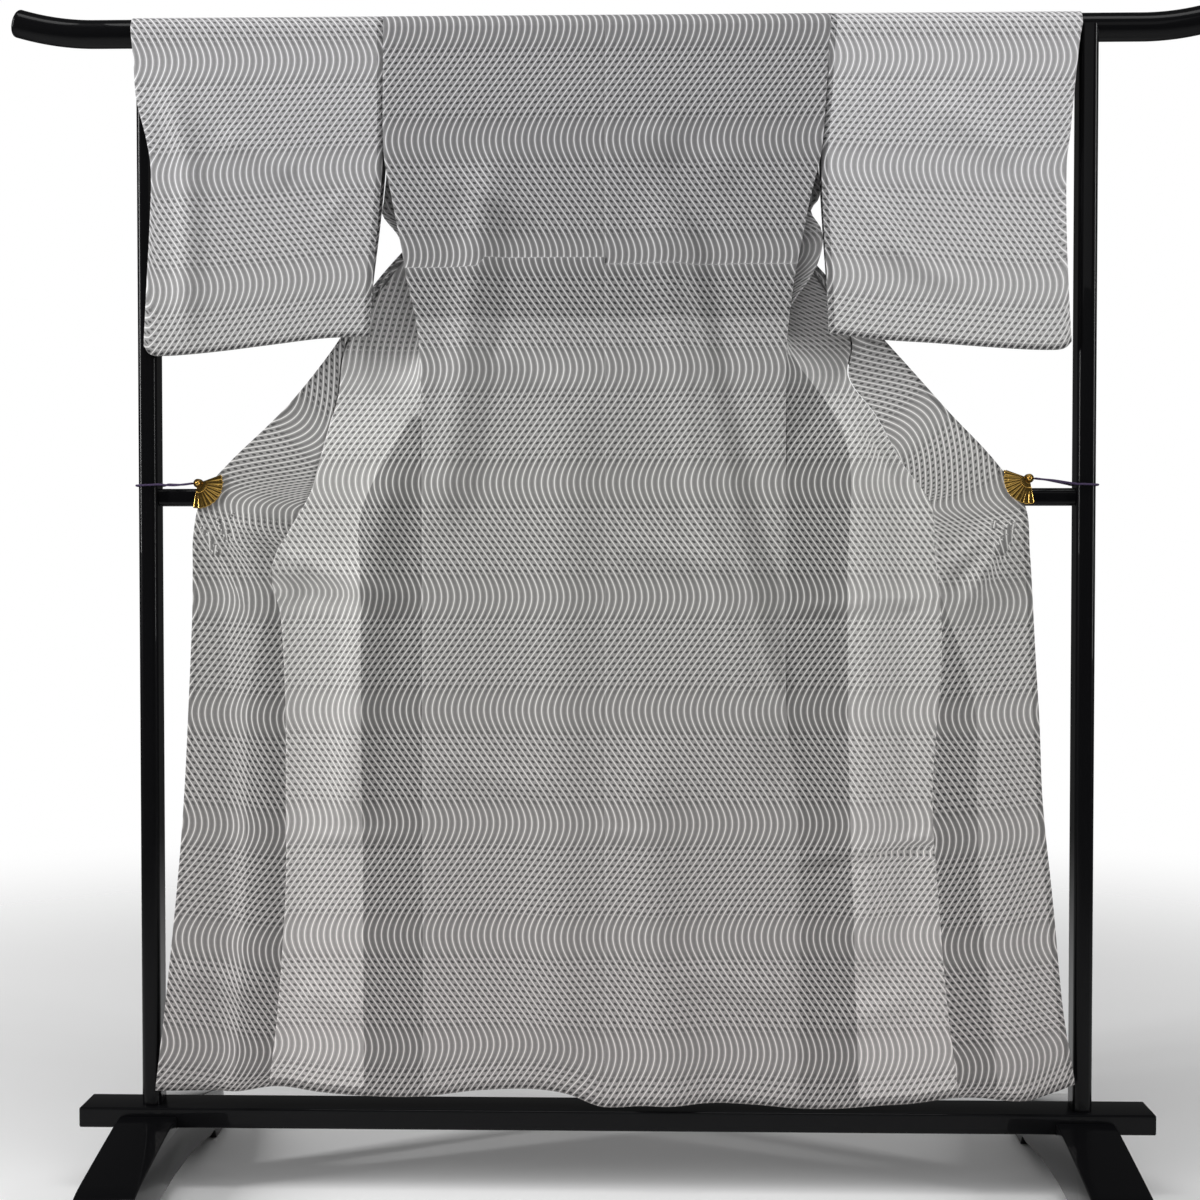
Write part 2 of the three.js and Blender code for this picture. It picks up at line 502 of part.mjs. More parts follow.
// The neck of the collar: up the left of the opening, across behind the rail, and down the right.
function collarNeck() {
  const left = collarRows(LEFT_SECTIONS, -1, COLLAR_NECK_ROWS).reverse();
  const right = collarRows(RIGHT_SECTIONS, 1, COLLAR_NECK_ROWS);
  const leftTop = left[left.length - 1];
  const rightTop = right[0];
  const top = COLLAR.neckTop;
  const low = leftTop[COLLAR_COLUMNS].z;
  const middle = (leftTop[0].x + rightTop[0].x) / 2;
  const half = Math.abs(leftTop[0].x - rightTop[0].x) / 2;
  const bridge = [-0.7, 0, 0.7].map((share) =>
    Array.from({ length: COLLAR_COLUMNS + 1 }, (_, j) => {
      const t = j / COLLAR_COLUMNS;
      return new THREE.Vector3(
        middle + share * half * mix(1, COLLAR.narrowing, t),
        WRAP.depth + COLLAR.behind,
        mix(share === 0 ? top : top - COLLAR.neckSag, low - 4, t),
      );
    }),
  );
  for (const row of [leftTop, rightTop]) {
    const side = Math.sign(row[0].x - middle);
    row.forEach((p, j) => {
      const least = (half * 0.2 * (COLLAR_COLUMNS - j)) / COLLAR_COLUMNS + 5;
      p.x = Math.max(side * (p.x - middle), least) * side + middle;
    });
  }
  return clothSolid([...left, ...bridge, ...right], COLLAR.wall, -1);
}

// A leg of the collar: turned back flat behind the drawn-out front, to its squared end below the clip.
function collarLeg(sections, sign) {
  return clothSolid(collarRows(sections, sign, COLLAR_LEG_ROWS), COLLAR.wall, -sign);
}

// ---- Stand -----------------------------------------------------------------------------------
function roundedOutline(width, height, corner) {
  const shape = new THREE.Shape();
  const w = width / 2;
  const h = height / 2;
  shape.moveTo(w, -h + corner);
  shape.lineTo(w, h - corner);
  shape.absarc(w - corner, h - corner, corner, 0, Math.PI / 2, false);
  shape.lineTo(-w + corner, h);
  shape.absarc(-w + corner, h - corner, corner, Math.PI / 2, Math.PI, false);
  shape.lineTo(-w, -h + corner);
  shape.absarc(-w + corner, -h + corner, corner, Math.PI, 1.5 * Math.PI, false);
  shape.lineTo(w - corner, -h);
  shape.absarc(w - corner, -h + corner, corner, 1.5 * Math.PI, 2 * Math.PI, false);
  return shape;
}

const extrude = (shape, depth, options = {}) =>
  new THREE.ExtrudeGeometry(shape, { depth, bevelEnabled: false, curveSegments: 4, ...options });

function toManifold(geometry) {
  const bare = geometry.clone();
  bare.deleteAttribute('normal');
  bare.deleteAttribute('uv');
  const merged = mergeVertices(bare, 1e-4);
  return new wasm.Manifold(
    new wasm.Mesh({
      numProp: 3,
      vertProperties: new Float32Array(merged.attributes.position.array),
      triVerts: new Uint32Array(merged.index.array),
    }),
  );
}

function fromManifold(solid) {
  const mesh = solid.getMesh();
  const geometry = new THREE.BufferGeometry();
  geometry.setAttribute('position', new THREE.BufferAttribute(new Float32Array(mesh.vertProperties), 3));
  geometry.setIndex(new THREE.BufferAttribute(new Uint32Array(mesh.triVerts), 1));
  return geometry;
}

// The top rail: a round bar whose ends sweep up a little, with rounded tips.
function topRail() {
  const end = RAIL.half - RAIL.straight;
  const stations = [];
  for (const t of [0, 0.2, 0.4, 0.6, 0.8, 0.93, 1]) stations.push({ x: RAIL.straight + end * t, t });
  const line = [...stations.map((s) => ({ x: -s.x, t: s.t })).reverse(), { x: 0, t: 0 }, ...stations];
  const rings = line.map(({ x, t }) => {
    const radius = t === 1 ? RAIL.radius - 3.5 : RAIL.radius;
    const z = RAIL.z + RAIL.tipRise * t * t;
    const lean = -Math.sign(x) * Math.atan((2 * RAIL.tipRise * t) / end);
    return Array.from({ length: RAIL.sides }, (_, k) => {
      const a = (2 * Math.PI * k) / RAIL.sides;
      const up = radius * Math.sin(a);
      return new THREE.Vector3(x + up * Math.sin(lean), radius * Math.cos(a), z + up * Math.cos(lean));
    });
  });
  const points = rings.flat();
  const faces = [];
  for (let i = 0; i < rings.length - 1; i += 1) {
    for (let k = 0; k < RAIL.sides; k += 1) {
      const next = (k + 1) % RAIL.sides;
      const a = i * RAIL.sides;
      const b = a + RAIL.sides;
      faces.push([a + k, b + k, b + next], [a + k, b + next, a + next]);
    }
  }
  const last = (rings.length - 1) * RAIL.sides;
  for (let k = 1; k < RAIL.sides - 1; k += 1) {
    faces.push([0, k, k + 1]);
    faces.push([last, last + k + 1, last + k]);
  }
  return closedSolid(points, faces);
}

// A post: rounded oblong bar with a half-round saddle on top for the rail.
function post(x) {
  const bottom = BOARD.top + GAP;
  const bar = extrude(roundedOutline(POST.width, POST.depth, POST.corner), RAIL.z - bottom);
  bar.translate(x, 0, bottom);
  const saddle = new THREE.CylinderGeometry(RAIL.radius + GAP, RAIL.radius + GAP, POST.width * 2, 32);
  saddle.rotateZ(Math.PI / 2);
  saddle.translate(x, 0, RAIL.z);
  return fromManifold(toManifold(bar).subtract(toManifold(saddle)));
}

function alongX(shape, length) {
  const geometry = extrude(shape, length);
  geometry.translate(0, 0, -length / 2);
  geometry.rotateY(Math.PI / 2);
  geometry.rotateX(Math.PI / 2);
  return geometry;
}

function midRail() {
  const length = 2 * (POST.x - POST.width / 2 - GAP);
  const bar = alongX(roundedOutline(MID_RAIL.depth, MID_RAIL.height, MID_RAIL.corner), length);
  bar.translate(0, 0, MID_RAIL.z);
  return bar;
}

function baseBoard() {
  const bar = alongX(roundedOutline(BOARD.depth, BOARD.thickness, BOARD.corner), BOARD.length);
  bar.translate(0, 0, BOARD.top - BOARD.thickness / 2);
  return bar;
}

// A foot: a low arched block across the board, with the board let into its top.
function foot(x) {
  const seat = BOARD.depth / 2 + GAP;
  const floor = BOARD.top - BOARD.thickness - GAP;
  const right = FOOT_PROFILE.map((p) => ({ y: p.y, z: p.z }));
  const left = right.map((p) => ({ y: -p.y, z: p.z })).reverse();
  const outline = [{ y: seat, z: floor }, ...right, ...left, { y: -seat, z: floor }];
  const shape = new THREE.Shape(outline.map((p) => new THREE.Vector2(p.y, p.z)));
  const geometry = extrude(shape, FOOT.width);
  // the outline's (across, up) becomes (y, z); its depth becomes x
  geometry.applyMatrix4(new THREE.Matrix4().set(0, 0, 1, x - FOOT.width / 2, 1, 0, 0, 0, 0, 1, 0, 0, 0, 0, 0, 1));
  return geometry;
}

// ---- Clips -----------------------------------------------------------------------------------
// A pleated fan leaf: spokes alternate near and far, which gives the folded face.
function fanLeaf(clip) {
  const spokes = CLIP.ribs * 2;
  const points = [];
  const layers = [CLIP.leafFront, CLIP.leafBack];
  const radii = [CLIP.hub, 2 * CLIP.hub, CLIP.radius];
  for (const [layer, base] of layers.entries()) {
    for (let i = 0; i <= spokes; i += 1) {
      const a = THREE.MathUtils.degToRad(clip.start + (clip.turn * CLIP.sweep * i) / spokes);
      radii.forEach((radius, ring) => {
        const dip = i % 2 === 1 && layer === 0 ? 0.5 * ring : 0;
        const tip = ring === 2 && i % 2 === 1 ? radius - 0.8 : radius;
        points.push(new THREE.Vector3(clip.x + tip * Math.cos(a), base + dip, clip.z + tip * Math.sin(a)));
      });
    }
  }
  const n = radii.length;
  const id = (layer, i, ring) => layer * (spokes + 1) * n + i * n + ring;
  const faces = [];
  const quad = (a, b, c, d) => faces.push([a, b, c], [a, c, d]);
  for (let i = 0; i < spokes; i += 1) {
    for (let ring = 0; ring < n - 1; ring += 1) {
      quad(id(0, i, ring), id(0, i + 1, ring), id(0, i + 1, ring + 1), id(0, i, ring + 1));
      quad(id(1, i, ring), id(1, i, ring + 1), id(1, i + 1, ring + 1), id(1, i + 1, ring));
    }
    quad(id(0, i, 0), id(1, i, 0), id(1, i + 1, 0), id(0, i + 1, 0));
    quad(id(0, i, n - 1), id(0, i + 1, n - 1), id(1, i + 1, n - 1), id(1, i, n - 1));
  }
  for (let ring = 0; ring < n - 1; ring += 1) {
    quad(id(0, 0, ring), id(0, 0, ring + 1), id(1, 0, ring + 1), id(1, 0, ring));
    quad(id(0, spokes, ring), id(1, spokes, ring), id(1, spokes, ring + 1), id(0, spokes, ring + 1));
  }
  return closedSolid(points, faces);
}

// The clip's knob: a turned pin at the pivot, from in front of the leaf to the jaw behind the cloth.
function clipKnob(clip) {
  const front = CLIP.leafFront - CLIP.knobProud;
  const back = CLIP.jawFront - GAP;
  const profile = [
    [0, front],
    [CLIP.knob - 1.4, front],
    [CLIP.knob, front + 1.4],
    [CLIP.knobBase, front + 2.2],
    [CLIP.knobBase, back],
    [0, back],
  ].map(([r, y]) => new THREE.Vector2(r, y));
  const knob = new THREE.LatheGeometry(profile, 20);
  knob.translate(clip.x, 0, clip.z);
  return knob;
}

// The rear jaw: a plain rounded plate behind the cloth.
function clipJaw(clip) {
  const shape = new THREE.Shape();
  const from = THREE.MathUtils.degToRad(clip.start);
  const to = THREE.MathUtils.degToRad(clip.start + clip.turn * CLIP.sweep);
  const behind = (from + to) / 2 + Math.PI;
  shape.moveTo(CLIP.hub * Math.cos(behind), CLIP.hub * Math.sin(behind));
  shape.lineTo(CLIP.radius * Math.cos(from), CLIP.radius * Math.sin(from));
  shape.absarc(0, 0, CLIP.radius, from, to, clip.turn < 0);
  shape.closePath();
  const plate = extrude(shape, CLIP.jawBack - CLIP.jawFront, { curveSegments: 10 });
  plate.rotateX(Math.PI / 2);
  plate.translate(clip.x, CLIP.jawBack, clip.z);
  return plate;
}

// The elastic loop, from the front of the knob round the post and back to the knob's rear side.
function clipCord(clip) {
  const out = Math.sign(clip.x);
  const startX = Math.abs(clip.x) + 8.4;
  const route = [
    { x: startX, y: -33.5, z: clip.z },
    { x: startX + 12, y: -32.5, z: clip.z - 1.5 },
    { x: startX + 30, y: -30, z: clip.z - 3 },
    { x: 672, y: -27.5, z: 1049.5 },
    { x: 684, y: -26.2, z: 1049 },
    { x: 697, y: -26, z: 1048.5 },
    { x: 706, y: -22, z: 1048.3 },
    { x: 708.5, y: -12, z: 1048.2 },
    { x: 708.5, y: 0, z: 1048.2 },
    { x: 708.5, y: 12, z: 1048.2 },
    { x: 706, y: 22, z: 1048.3 },
    { x: 697, y: 26, z: 1048.5 },
    { x: 685, y: 26, z: 1049 },
    { x: 675.5, y: 20, z: 1049.5 },
    { x: 670, y: 9, z: 1050 },
    { x: 662, y: -4, z: 1050.5 },
    { x: startX + 20, y: -17, z: clip.z - 1.5 },
    { x: startX + 6, y: -25, z: clip.z - 0.5 },
    { x: startX, y: -28.5, z: clip.z },
  ];
  const path = new THREE.CatmullRomCurve3(route.map((p) => new THREE.Vector3(out * p.x, p.y, p.z)));
  const ring = new THREE.Shape();
  ring.absarc(0, 0, CORD.radius, 0, 2 * Math.PI, false);
  return new THREE.ExtrudeGeometry(ring, {
    steps: CORD.steps,
    extrudePath: path,
    curveSegments: CORD.sides / 2,
    bevelEnabled: false,
  });
}

// ---- The whole -------------------------------------------------------------------------------
addPiece('top_rail', topRail(), lacquer());
addPiece('post_left', post(-POST.x), lacquer());
addPiece('post_right', post(POST.x), lacquer());
addPiece('mid_rail', midRail(), lacquer());
addPiece('base_board', baseBoard(), lacquer());
addPiece('foot_left', foot(-POST.x), lacquer());
addPiece('foot_right', foot(POST.x), lacquer());

addPiece('body_left', bodySolid(LEFT_SECTIONS, -1), silk('silk left body', 0xa9a8a6));
addPiece('body_right', bodySolid(RIGHT_SECTIONS, 1), silk('silk right body', 0xa9a8a6));
addPiece('okumi_left', okumiSolid(LEFT_SECTIONS, -1), silk('silk left okumi', 0xa5a4a2));
addPiece('okumi_right', okumiSolid(RIGHT_SECTIONS, 1), silk('silk right okumi', 0xa5a4a2));
addPiece('sleeve_left', sleeveSolid(LEFT_SLEEVE, LEFT_SLEEVE_FOOT, -1), silk('silk left sleeve', 0xb0afae));
addPiece('sleeve_right', sleeveSolid(RIGHT_SLEEVE, RIGHT_SLEEVE_FOOT, 1), silk('silk right sleeve', 0xb0afae));
addPiece('collar_neck', collarNeck(), silk('silk collar', 0xa0a09e));
addPiece('collar_left', collarLeg(LEFT_SECTIONS, -1), silk('silk collar left', 0xa0a09e));
addPiece('collar_right', collarLeg(RIGHT_SECTIONS, 1), silk('silk collar right', 0xa0a09e));

for (const clip of CLIP_PLACES) {
  addPiece(`clip_fan_${clip.name}`, fanLeaf(clip), gilt());
  addPiece(`clip_knob_${clip.name}`, clipKnob(clip), gilt());
  addPiece(`clip_jaw_${clip.name}`, clipJaw(clip), gilt());
  addPiece(`clip_cord_${clip.name}`, clipCord(clip), elastic());
}

export default part;
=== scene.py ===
# %% [markdown]
# # An unlined silk kimono on a lacquered stand
#
# The garment hangs with its back towards us. The stand's top rail runs through both sleeves, the
# fronts are drawn out past the side seams, and a gilt fan clip on an elastic loop holds each front
# edge beside its post. Everything is in metres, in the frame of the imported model.

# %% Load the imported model
import json
import math

import bmesh
import bpy
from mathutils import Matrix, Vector

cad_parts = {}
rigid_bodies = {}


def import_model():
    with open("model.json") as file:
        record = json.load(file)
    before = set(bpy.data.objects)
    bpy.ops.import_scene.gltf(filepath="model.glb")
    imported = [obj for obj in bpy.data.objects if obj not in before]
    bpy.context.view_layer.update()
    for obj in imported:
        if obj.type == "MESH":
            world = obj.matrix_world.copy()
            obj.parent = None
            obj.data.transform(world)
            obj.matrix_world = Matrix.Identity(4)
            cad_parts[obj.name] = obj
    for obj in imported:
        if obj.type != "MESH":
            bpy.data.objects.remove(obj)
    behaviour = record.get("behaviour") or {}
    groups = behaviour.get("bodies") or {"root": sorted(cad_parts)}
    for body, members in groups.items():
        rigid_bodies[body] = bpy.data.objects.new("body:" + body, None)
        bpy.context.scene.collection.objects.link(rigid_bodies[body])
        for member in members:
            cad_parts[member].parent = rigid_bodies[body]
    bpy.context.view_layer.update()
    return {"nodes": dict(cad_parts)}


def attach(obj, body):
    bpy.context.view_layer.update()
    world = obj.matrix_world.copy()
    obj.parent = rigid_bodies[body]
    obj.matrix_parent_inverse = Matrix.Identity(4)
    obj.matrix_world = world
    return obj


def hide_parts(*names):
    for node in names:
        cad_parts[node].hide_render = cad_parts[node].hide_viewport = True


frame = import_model()
MM = 0.001

# %% [markdown]
# ## Camera
#
# We stand 2.65 m in front of the rail, a little to the right of the middle and just above half
# height, with a normal lens. The camera turns slightly left and down, so uprights lean very little.

# %% Camera
CAMERA_PLACE = (0.044, -2.65, 0.944)
CAMERA_YAW = math.radians(1.41)
CAMERA_PITCH = math.radians(1.41)
LENS = 53.6

camera = bpy.data.objects.new("camera", bpy.data.cameras.new("camera"))
bpy.context.scene.collection.objects.link(camera)
camera.location = CAMERA_PLACE
camera.rotation_euler = (math.pi / 2 - CAMERA_PITCH, 0, CAMERA_YAW)
camera.data.lens = LENS
camera.data.sensor_width = 36
camera.data.dof.use_dof = False
bpy.context.scene.camera = camera
print("camera", CAMERA_PLACE, "lens", LENS)

# %% [markdown]
# ## Sizes of the cloth
#
# A kimono is cut from one narrow bolt, so its pieces are long straight strips. How they hang is
# written here as sections: a row for each height, in millimetres, read with a smooth curve through
# the rows. The same rows shape the solid pieces of the model.

# %% Tables
def table(columns, text):
    names = columns.split()
    return [dict(zip(names, (float(v) for v in line.split()))) for line in text.strip().splitlines()]


def at(rows, key, column, value):
    """Read a column at a value of the key, on a smooth curve through the rows."""
    rising = rows[-1][key] > rows[0][key]
    i = 0
    while i < len(rows) - 2 and (value > rows[i + 1][key] if rising else value < rows[i + 1][key]):
        i += 1
    a = rows[i]
    b = rows[i + 1]
    before = rows[i - 1] if i > 0 else a
    after = rows[i + 2] if i + 2 < len(rows) else b
    span = b[key] - a[key]
    t = min(1.0, max(0.0, (value - a[key]) / span))
    step = b[column] - a[column]
    slope_a = step if before is a else (b[column] - before[column]) * span / (b[key] - before[key])
    slope_b = step if after is b else (after[column] - a[column]) * span / (after[key] - a[key])
    t2 = t * t
    t3 = t2 * t
    return (a[column] * (2 * t3 - 3 * t2 + 1) + slope_a * (t3 - 2 * t2 + t)
            + b[column] * (3 * t2 - 2 * t3) + slope_b * (t3 - t2))


LEFT_SECTIONS = table("z back side seam outer ySide yEdge foldIn foldBack", """
    1717 325 325 36 36 24.4 24.4 0 0
    1665 325 325 78 78 24.4 20.6 3 3
    1600 325 325 132 132 24.4 15.8 3 3
    1531 323.5 325 188 188 19 10.7 3 3
    1468 312 328.5 235 240 2 6 8 7
    1447 308 329 249 255 -6 4.5 26 16
    1416 302 305 272 280 -17 2.2 56 31
    1398 298.5 299 288 297 -19.5 0.8 68 37
    1348 290 290 327 340 -19.5 -2.8 72 40
    1291 277 277 367 376 -19.5 -7 58 36
    1244 272 272 388 407 -19.6 -10.5 44 24
    1181 269.5 269.5 396 456 -20.5 -15.2 26 12
    1140 269 269 406 494 -22 -18.2 14 6
    1079 269 269 421 555 -24 -24.4 3 1
    1035 269 269 434 592 -24.4 -24.4 0 0
    975 269 269 468 607 -24.4 -24.4 0 0
    925 269 269 488 609 -24.4 -24.4 0 0
    854 269 269 476 610 -24.4 -24.4 0 0
    732 269 269 470 615 -24.4 -24.4 0 0
    585 269 269 470 623 -24.4 -24.4 0 0
    453 269 269 471 634 -24.4 -24.4 0 0
    285 269 269 482 652 -24.4 -24.4 0 0
    145 269 269 496 668 -24.4 -24.4 0 0
""")
RIGHT_SECTIONS = table("z back side seam outer ySide yEdge foldIn foldBack", """
    1717 329 329 15 15 24.4 24.4 0 0
    1665 325 325 57 57 24.4 20.6 3 3
    1600 321 321 113 113 24.4 15.8 3 3
    1531 315 315 171 171 19 10.7 3 3
    1473 301 316 217 222 3 6.2 8 7
    1450 296 302 236 242 -10 4.7 36 20
    1423 291 316 259 266 -18.5 2.8 64 34
    1398 286 318 279 288 -19.5 1 72 37
    1360 278.5 306 309 322 -19.5 -1.9 68 37
    1306 270.6 270.6 344 370 -19.5 -6 58 38
    1259 266 266 363 412 -19.6 -9.4 44 26
    1206 264.7 264.7 359 459 -20.5 -13.3 30 14
    1151 264.7 264.7 397 507 -22 -17.4 14 6
    1078 264.7 264.7 436 572 -24 -24.4 3 1
    1019 264.7 264.7 476 612 -24.4 -24.4 0 0
    948 264.7 264.7 482 620 -24.4 -24.4 0 0
    888 264.7 264.7 489 624 -24.4 -24.4 0 0
    798 264.7 264.7 493 629 -24.4 -24.4 0 0
    700 268 268 486 635 -24.4 -24.4 0 0
    585 283 283 480 640 -24.4 -24.4 0 0
    435 286 286 490 656 -24.4 -24.4 0 0
    285 286.5 286.5 503 671 -24.4 -24.4 0 0
    145 287 287 521 690 -24.4 -24.4 0 0
""")
HEM_LINE = table("x z", """
    -668 150
    -560 150
    -496 160
    -420 150
    -350 144
    -269 144
    -182 154
    -110 156
    -55 149
    -2 131
    74 136
    150 138
    224 135
    286 130
    332 130
    400 135
    450 138
    520 148
    614 148
    662 159
    690 169
""")
FOLDS = table("xTop zTop xMid zMid xLow zLow width rise", """
    112 1600 178 1173 266 700 24 -9
    76 1500 140 1080 250 600 34 8
    -160 1560 -208 1200 -238 960 28 7
    -40 1250 -62 800 -70 150 46 6
    60 700 75 400 100 110 40 7
    -300 1120 -345 900 -380 500 30 7
    -520 1060 -500 700 -520 110 36 6
    -600 1000 -560 600 -590 110 30 -4
    606 1012 566 960 520 840 22 8
    400 1260 410 1120 470 980 20 -5
    350 1250 380 900 380 300 34 8
    560 760 580 450 610 110 36 5
    -640 1700 -628 1480 -620 1230 20 4
    -365 1510 -400 1450 -450 1380 22 5
    370 1520 420 1420 495 1320 22 5
""")
LEFT_SLEEVE = table("z inner outer far", """
    1717 325 697 697
    1700 325 695.5 688
    1685 325 694 672
    1668 325 692.5 659
    1615 325 688 655
    1556 325 673.5 656
    1512 326 667 661
    1438 332 669 669
    1335 342 675 675
    1240 346 680 680
""")
RIGHT_SLEEVE = table("z inner outer far", """
    1717 329 693 693
    1700 327.5 690 688
    1685 326 688 684
    1668 325 686 680
    1600 321 679 674
    1556 317 675 671
    1519 315 670.5 669
    1423 319 670.5 670
    1320 325 675 675
    1240 327 680 680
""")
LEFT_SLEEVE_FOOT = table("share z", """
    0 1266
    0.2 1264
    0.45 1254
    0.75 1242
    0.93 1238.5
    0.975 1242
    1 1254
""")
RIGHT_SLEEVE_FOOT = table("share z", """
    0 1269
    0.2 1260
    0.45 1254
    0.75 1246
    0.93 1244
    0.975 1247
    1 1256
""")
COLLAR_LEAN = table("z lean inset", """
    1717 0 0.5
    1640 0.2 3
    1531 0.8 5
    1468 1.2 5
    1398 0.9 3
    1291 0.75 2
    1218 0.45 1
    1144 0.22 1
    1079 0.03 1
    940 0 1
""")
print("section rows", len(LEFT_SECTIONS), len(RIGHT_SECTIONS), "folds", len(FOLDS))

# %% Sizes shared by the pieces
CENTRE_X = -13.5  # the centre back seam, from the middle of the stand
SEAM_GAP = 0.08
SEAM_TURN = 0.03
RAIL_Z = 1717
WRAP_DEPTH = 24.4
WRAP_RISE = 22.6
HEM_LEVEL = 145
HEM_EASE = 300
HEM_MIN = 129
BASE_RISE = 6
FOLD_FADE = 110
WING_LEVEL = 1165
WING_EASE = 80
OKUMI_TOP = 1398
CUFF_FOOT = 1512
SLEEVE_LOW = 1240
SLEEVE_FORWARD = 3.6
LAYERS_SEWN = 3.4
TUCK_STEP = 1.6
RELIEF_TOP = 1700  # below this the back begins to carry its folds
RELIEF_EASE = 120
EDGE_SPAN = 60  # a front narrower than this is turning edge-on at its seams
print("rail", RAIL_Z, "hem", HEM_LEVEL, "wrap", WRAP_DEPTH)


def mix(a, b, t):
    return a + (b - a) * t


def smooth(t):
    t = min(1.0, max(0.0, t))
    return t * t * (3 - 2 * t)


# %% [markdown]
# ## Folds
#
# Hung silk keeps long soft folds. Each is a ridge (positive rise) or a trough along a curve from its
# top through its middle to its low end, with a bell-shaped section. Small shallow ripples, sums of
# slow waves, keep the cloth between them from looking like a board.

# %% Fold height
for fold in FOLDS:
    fold["line"] = [{"z": fold["z" + part], "x": fold["x" + part]} for part in ("Top", "Mid", "Low")]

CREASES = table("xA zA xB zB width rise", """
    287 498 479 532 7 2.6
    300 486 470 519 9 -2.2
    287 866 466 881 6 2.2
    292 856 460 871 8 -1.8
    -420 530 -300 533 7 2.0
    -5 536 80 539 6 1.8
    -466 934 -301 881 24 4
    -450 905 -300 858 18 -3
    -572 1000 -480 890 9 4
    -590 985 -520 870 8 3
    -548 1004 -440 930 10 4
    590 990 526 873 10 4
    572 992 500 925 10 4
    351 1180 412 1105 16 -6
    -150 1240 -60 1180 22 3
    30 960 190 930 22 2.5
    -240 640 -90 600 24 2.5
    120 330 260 300 22 2.5
    -230 1500 -120 1440 20 3
    60 1560 180 1500 24 3
    -560 1560 -470 1500 20 3
    500 1600 600 1520 22 3
    400 1400 520 1340 18 2.5
    -620 330 -520 300 22 2.5
    -440 300 -360 270 20 2.5
    340 260 440 290 20 2.5
""")
print("folds", len(FOLDS), "creases", len(CREASES))


def crease_rise(x, z):
    """Short creases: a soft ridge or trough along a straight run, dying away at its ends."""
    rise = 0.0
    for c in CREASES:
        run_x = c["xB"] - c["xA"]
        run_z = c["zB"] - c["zA"]
        length = math.hypot(run_x, run_z)
        t = ((x - c["xA"]) * run_x + (z - c["zA"]) * run_z) / length ** 2
        if not -0.2 < t < 1.2:
            continue
        off = ((x - c["xA"]) * run_z - (z - c["zA"]) * run_x) / length / c["width"]
        if abs(off) < 3:
            fade = smooth((t + 0.2) / 0.35) * smooth((1.2 - t) / 0.35)
            rise += c["rise"] * fade * math.exp(-off * off)
    return rise


def fold_rise(x, z):
    rise = crease_rise(x, z)
    for f in FOLDS:
        if not f["zLow"] - FOLD_FADE < z < f["zTop"]:
            continue
        to_hem = 1 if f["zLow"] < HEM_LEVEL else 0
        fade = smooth((f["zTop"] - z) / FOLD_FADE) * smooth((z - f["zLow"]) / FOLD_FADE + to_hem)
        off = (x - at(f["line"], "z", "x", z)) / f["width"]
        if abs(off) < 3:
            rise += f["rise"] * fade * math.exp(-off * off)
    return rise


def ripple(x, z):
    """Slow shallow unevenness of the cloth, in millimetres."""
    a = math.sin(x / 47 + 1.3 * math.sin(z / 310)) * math.sin(z / 265 + x / 520)
    b = math.sin(x / 21 + z / 190 + 2.0) * math.sin(z / 131 + 0.7)
    c = math.sin(x / 83 - z / 900 + 1.1) * math.sin(z / 420 + 0.4)
    return 1.9 * a + 0.8 * b + 2.2 * c


RELIEF = 2.3
SOFT_FLOOR = 3.0
CLIP_MIDS = ((-598.5, 1051), (617.5, 1057))
CLIP_REACH = 42
CLIP_EASE = 60


def relief(x, z):
    """Height of all folds and ripples over the cloth's own plane, never below it, calm at the clips."""
    calm = 1.0
    for mid_x, mid_z in CLIP_MIDS:
        calm = min(calm, smooth((math.hypot(x - mid_x, z - mid_z) - CLIP_REACH) / CLIP_EASE))
    rise = (RELIEF * fold_rise(x, z) + ripple(x, z)) * calm + BASE_RISE
    return (rise + math.sqrt(rise * rise + SOFT_FLOOR * SOFT_FLOOR)) / 2


def row_height(x, z):
    drop = smooth((HEM_EASE - z) / (HEM_EASE - HEM_LEVEL))
    return z + (max(HEM_MIN, at(HEM_LINE, "x", "z", x)) - HEM_LEVEL) * drop


def place(sign, u, y, z):
    return Vector((CENTRE_X + sign * u, y, z)) * MM


# %% [markdown]
# ## Surfaces
#
# The back hangs almost flat. The drawn-out front is a surface between the side seam and the free
# edge, with its slack looped in behind the back panel under the arm. A grid of points is laid on
# each, so the weave can follow the cloth by the grid's own measure.

# %% Points of the back and the front
def back_point(rows, sign, share, z):
    u = mix(SEAM_GAP / 2, at(rows, "z", "back", z) - SEAM_GAP, share)
    clear = smooth((RELIEF_TOP - z) / RELIEF_EASE)
    rise = relief(sign * u, z)
    rise += TUCK_STEP * smooth((tuck_height(sign * u) + 2 - z) / 4) * smooth((z - TUCK_BAND + 30) / 60)
    return place(sign, u, -WRAP_DEPTH - rise * clear, row_height(sign * u, z))


def wing_lift(x, z):
    return relief(x, z) * smooth((WING_LEVEL - z) / WING_EASE)


def front_point(rows, sign, share, z):
    loop = math.sin(math.pi * share)
    side, outer, fold_in, fold_back, y_side, y_edge = (
        at(rows, "z", c, z) for c in ("side", "outer", "foldIn", "foldBack", "ySide", "yEdge"))
    turned = max(-1.0, min(1.0, (outer - side) / EDGE_SPAN))
    u = mix(side + SEAM_GAP * turned, outer, share) - fold_in * loop
    y = mix(y_side, y_edge, share) + fold_back * loop - wing_lift(sign * u, z)
    return place(sign, u, y, row_height(sign * u, z))


def seam_share(rows, z):
    """Where the okumi seam lies between the side seam (0) and the free edge (1)."""
    if z > OKUMI_TOP:
        return 1.0
    side, outer, fold_in, seam = (at(rows, "z", c, z) for c in ("side", "outer", "foldIn", "seam"))
    low = 0.4
    high = 1.0
    for _ in range(24):
        mid = (low + high) / 2
        if mix(side, outer, mid) - fold_in * math.sin(math.pi * mid) < seam:
            low = mid
        else:
            high = mid
    return high


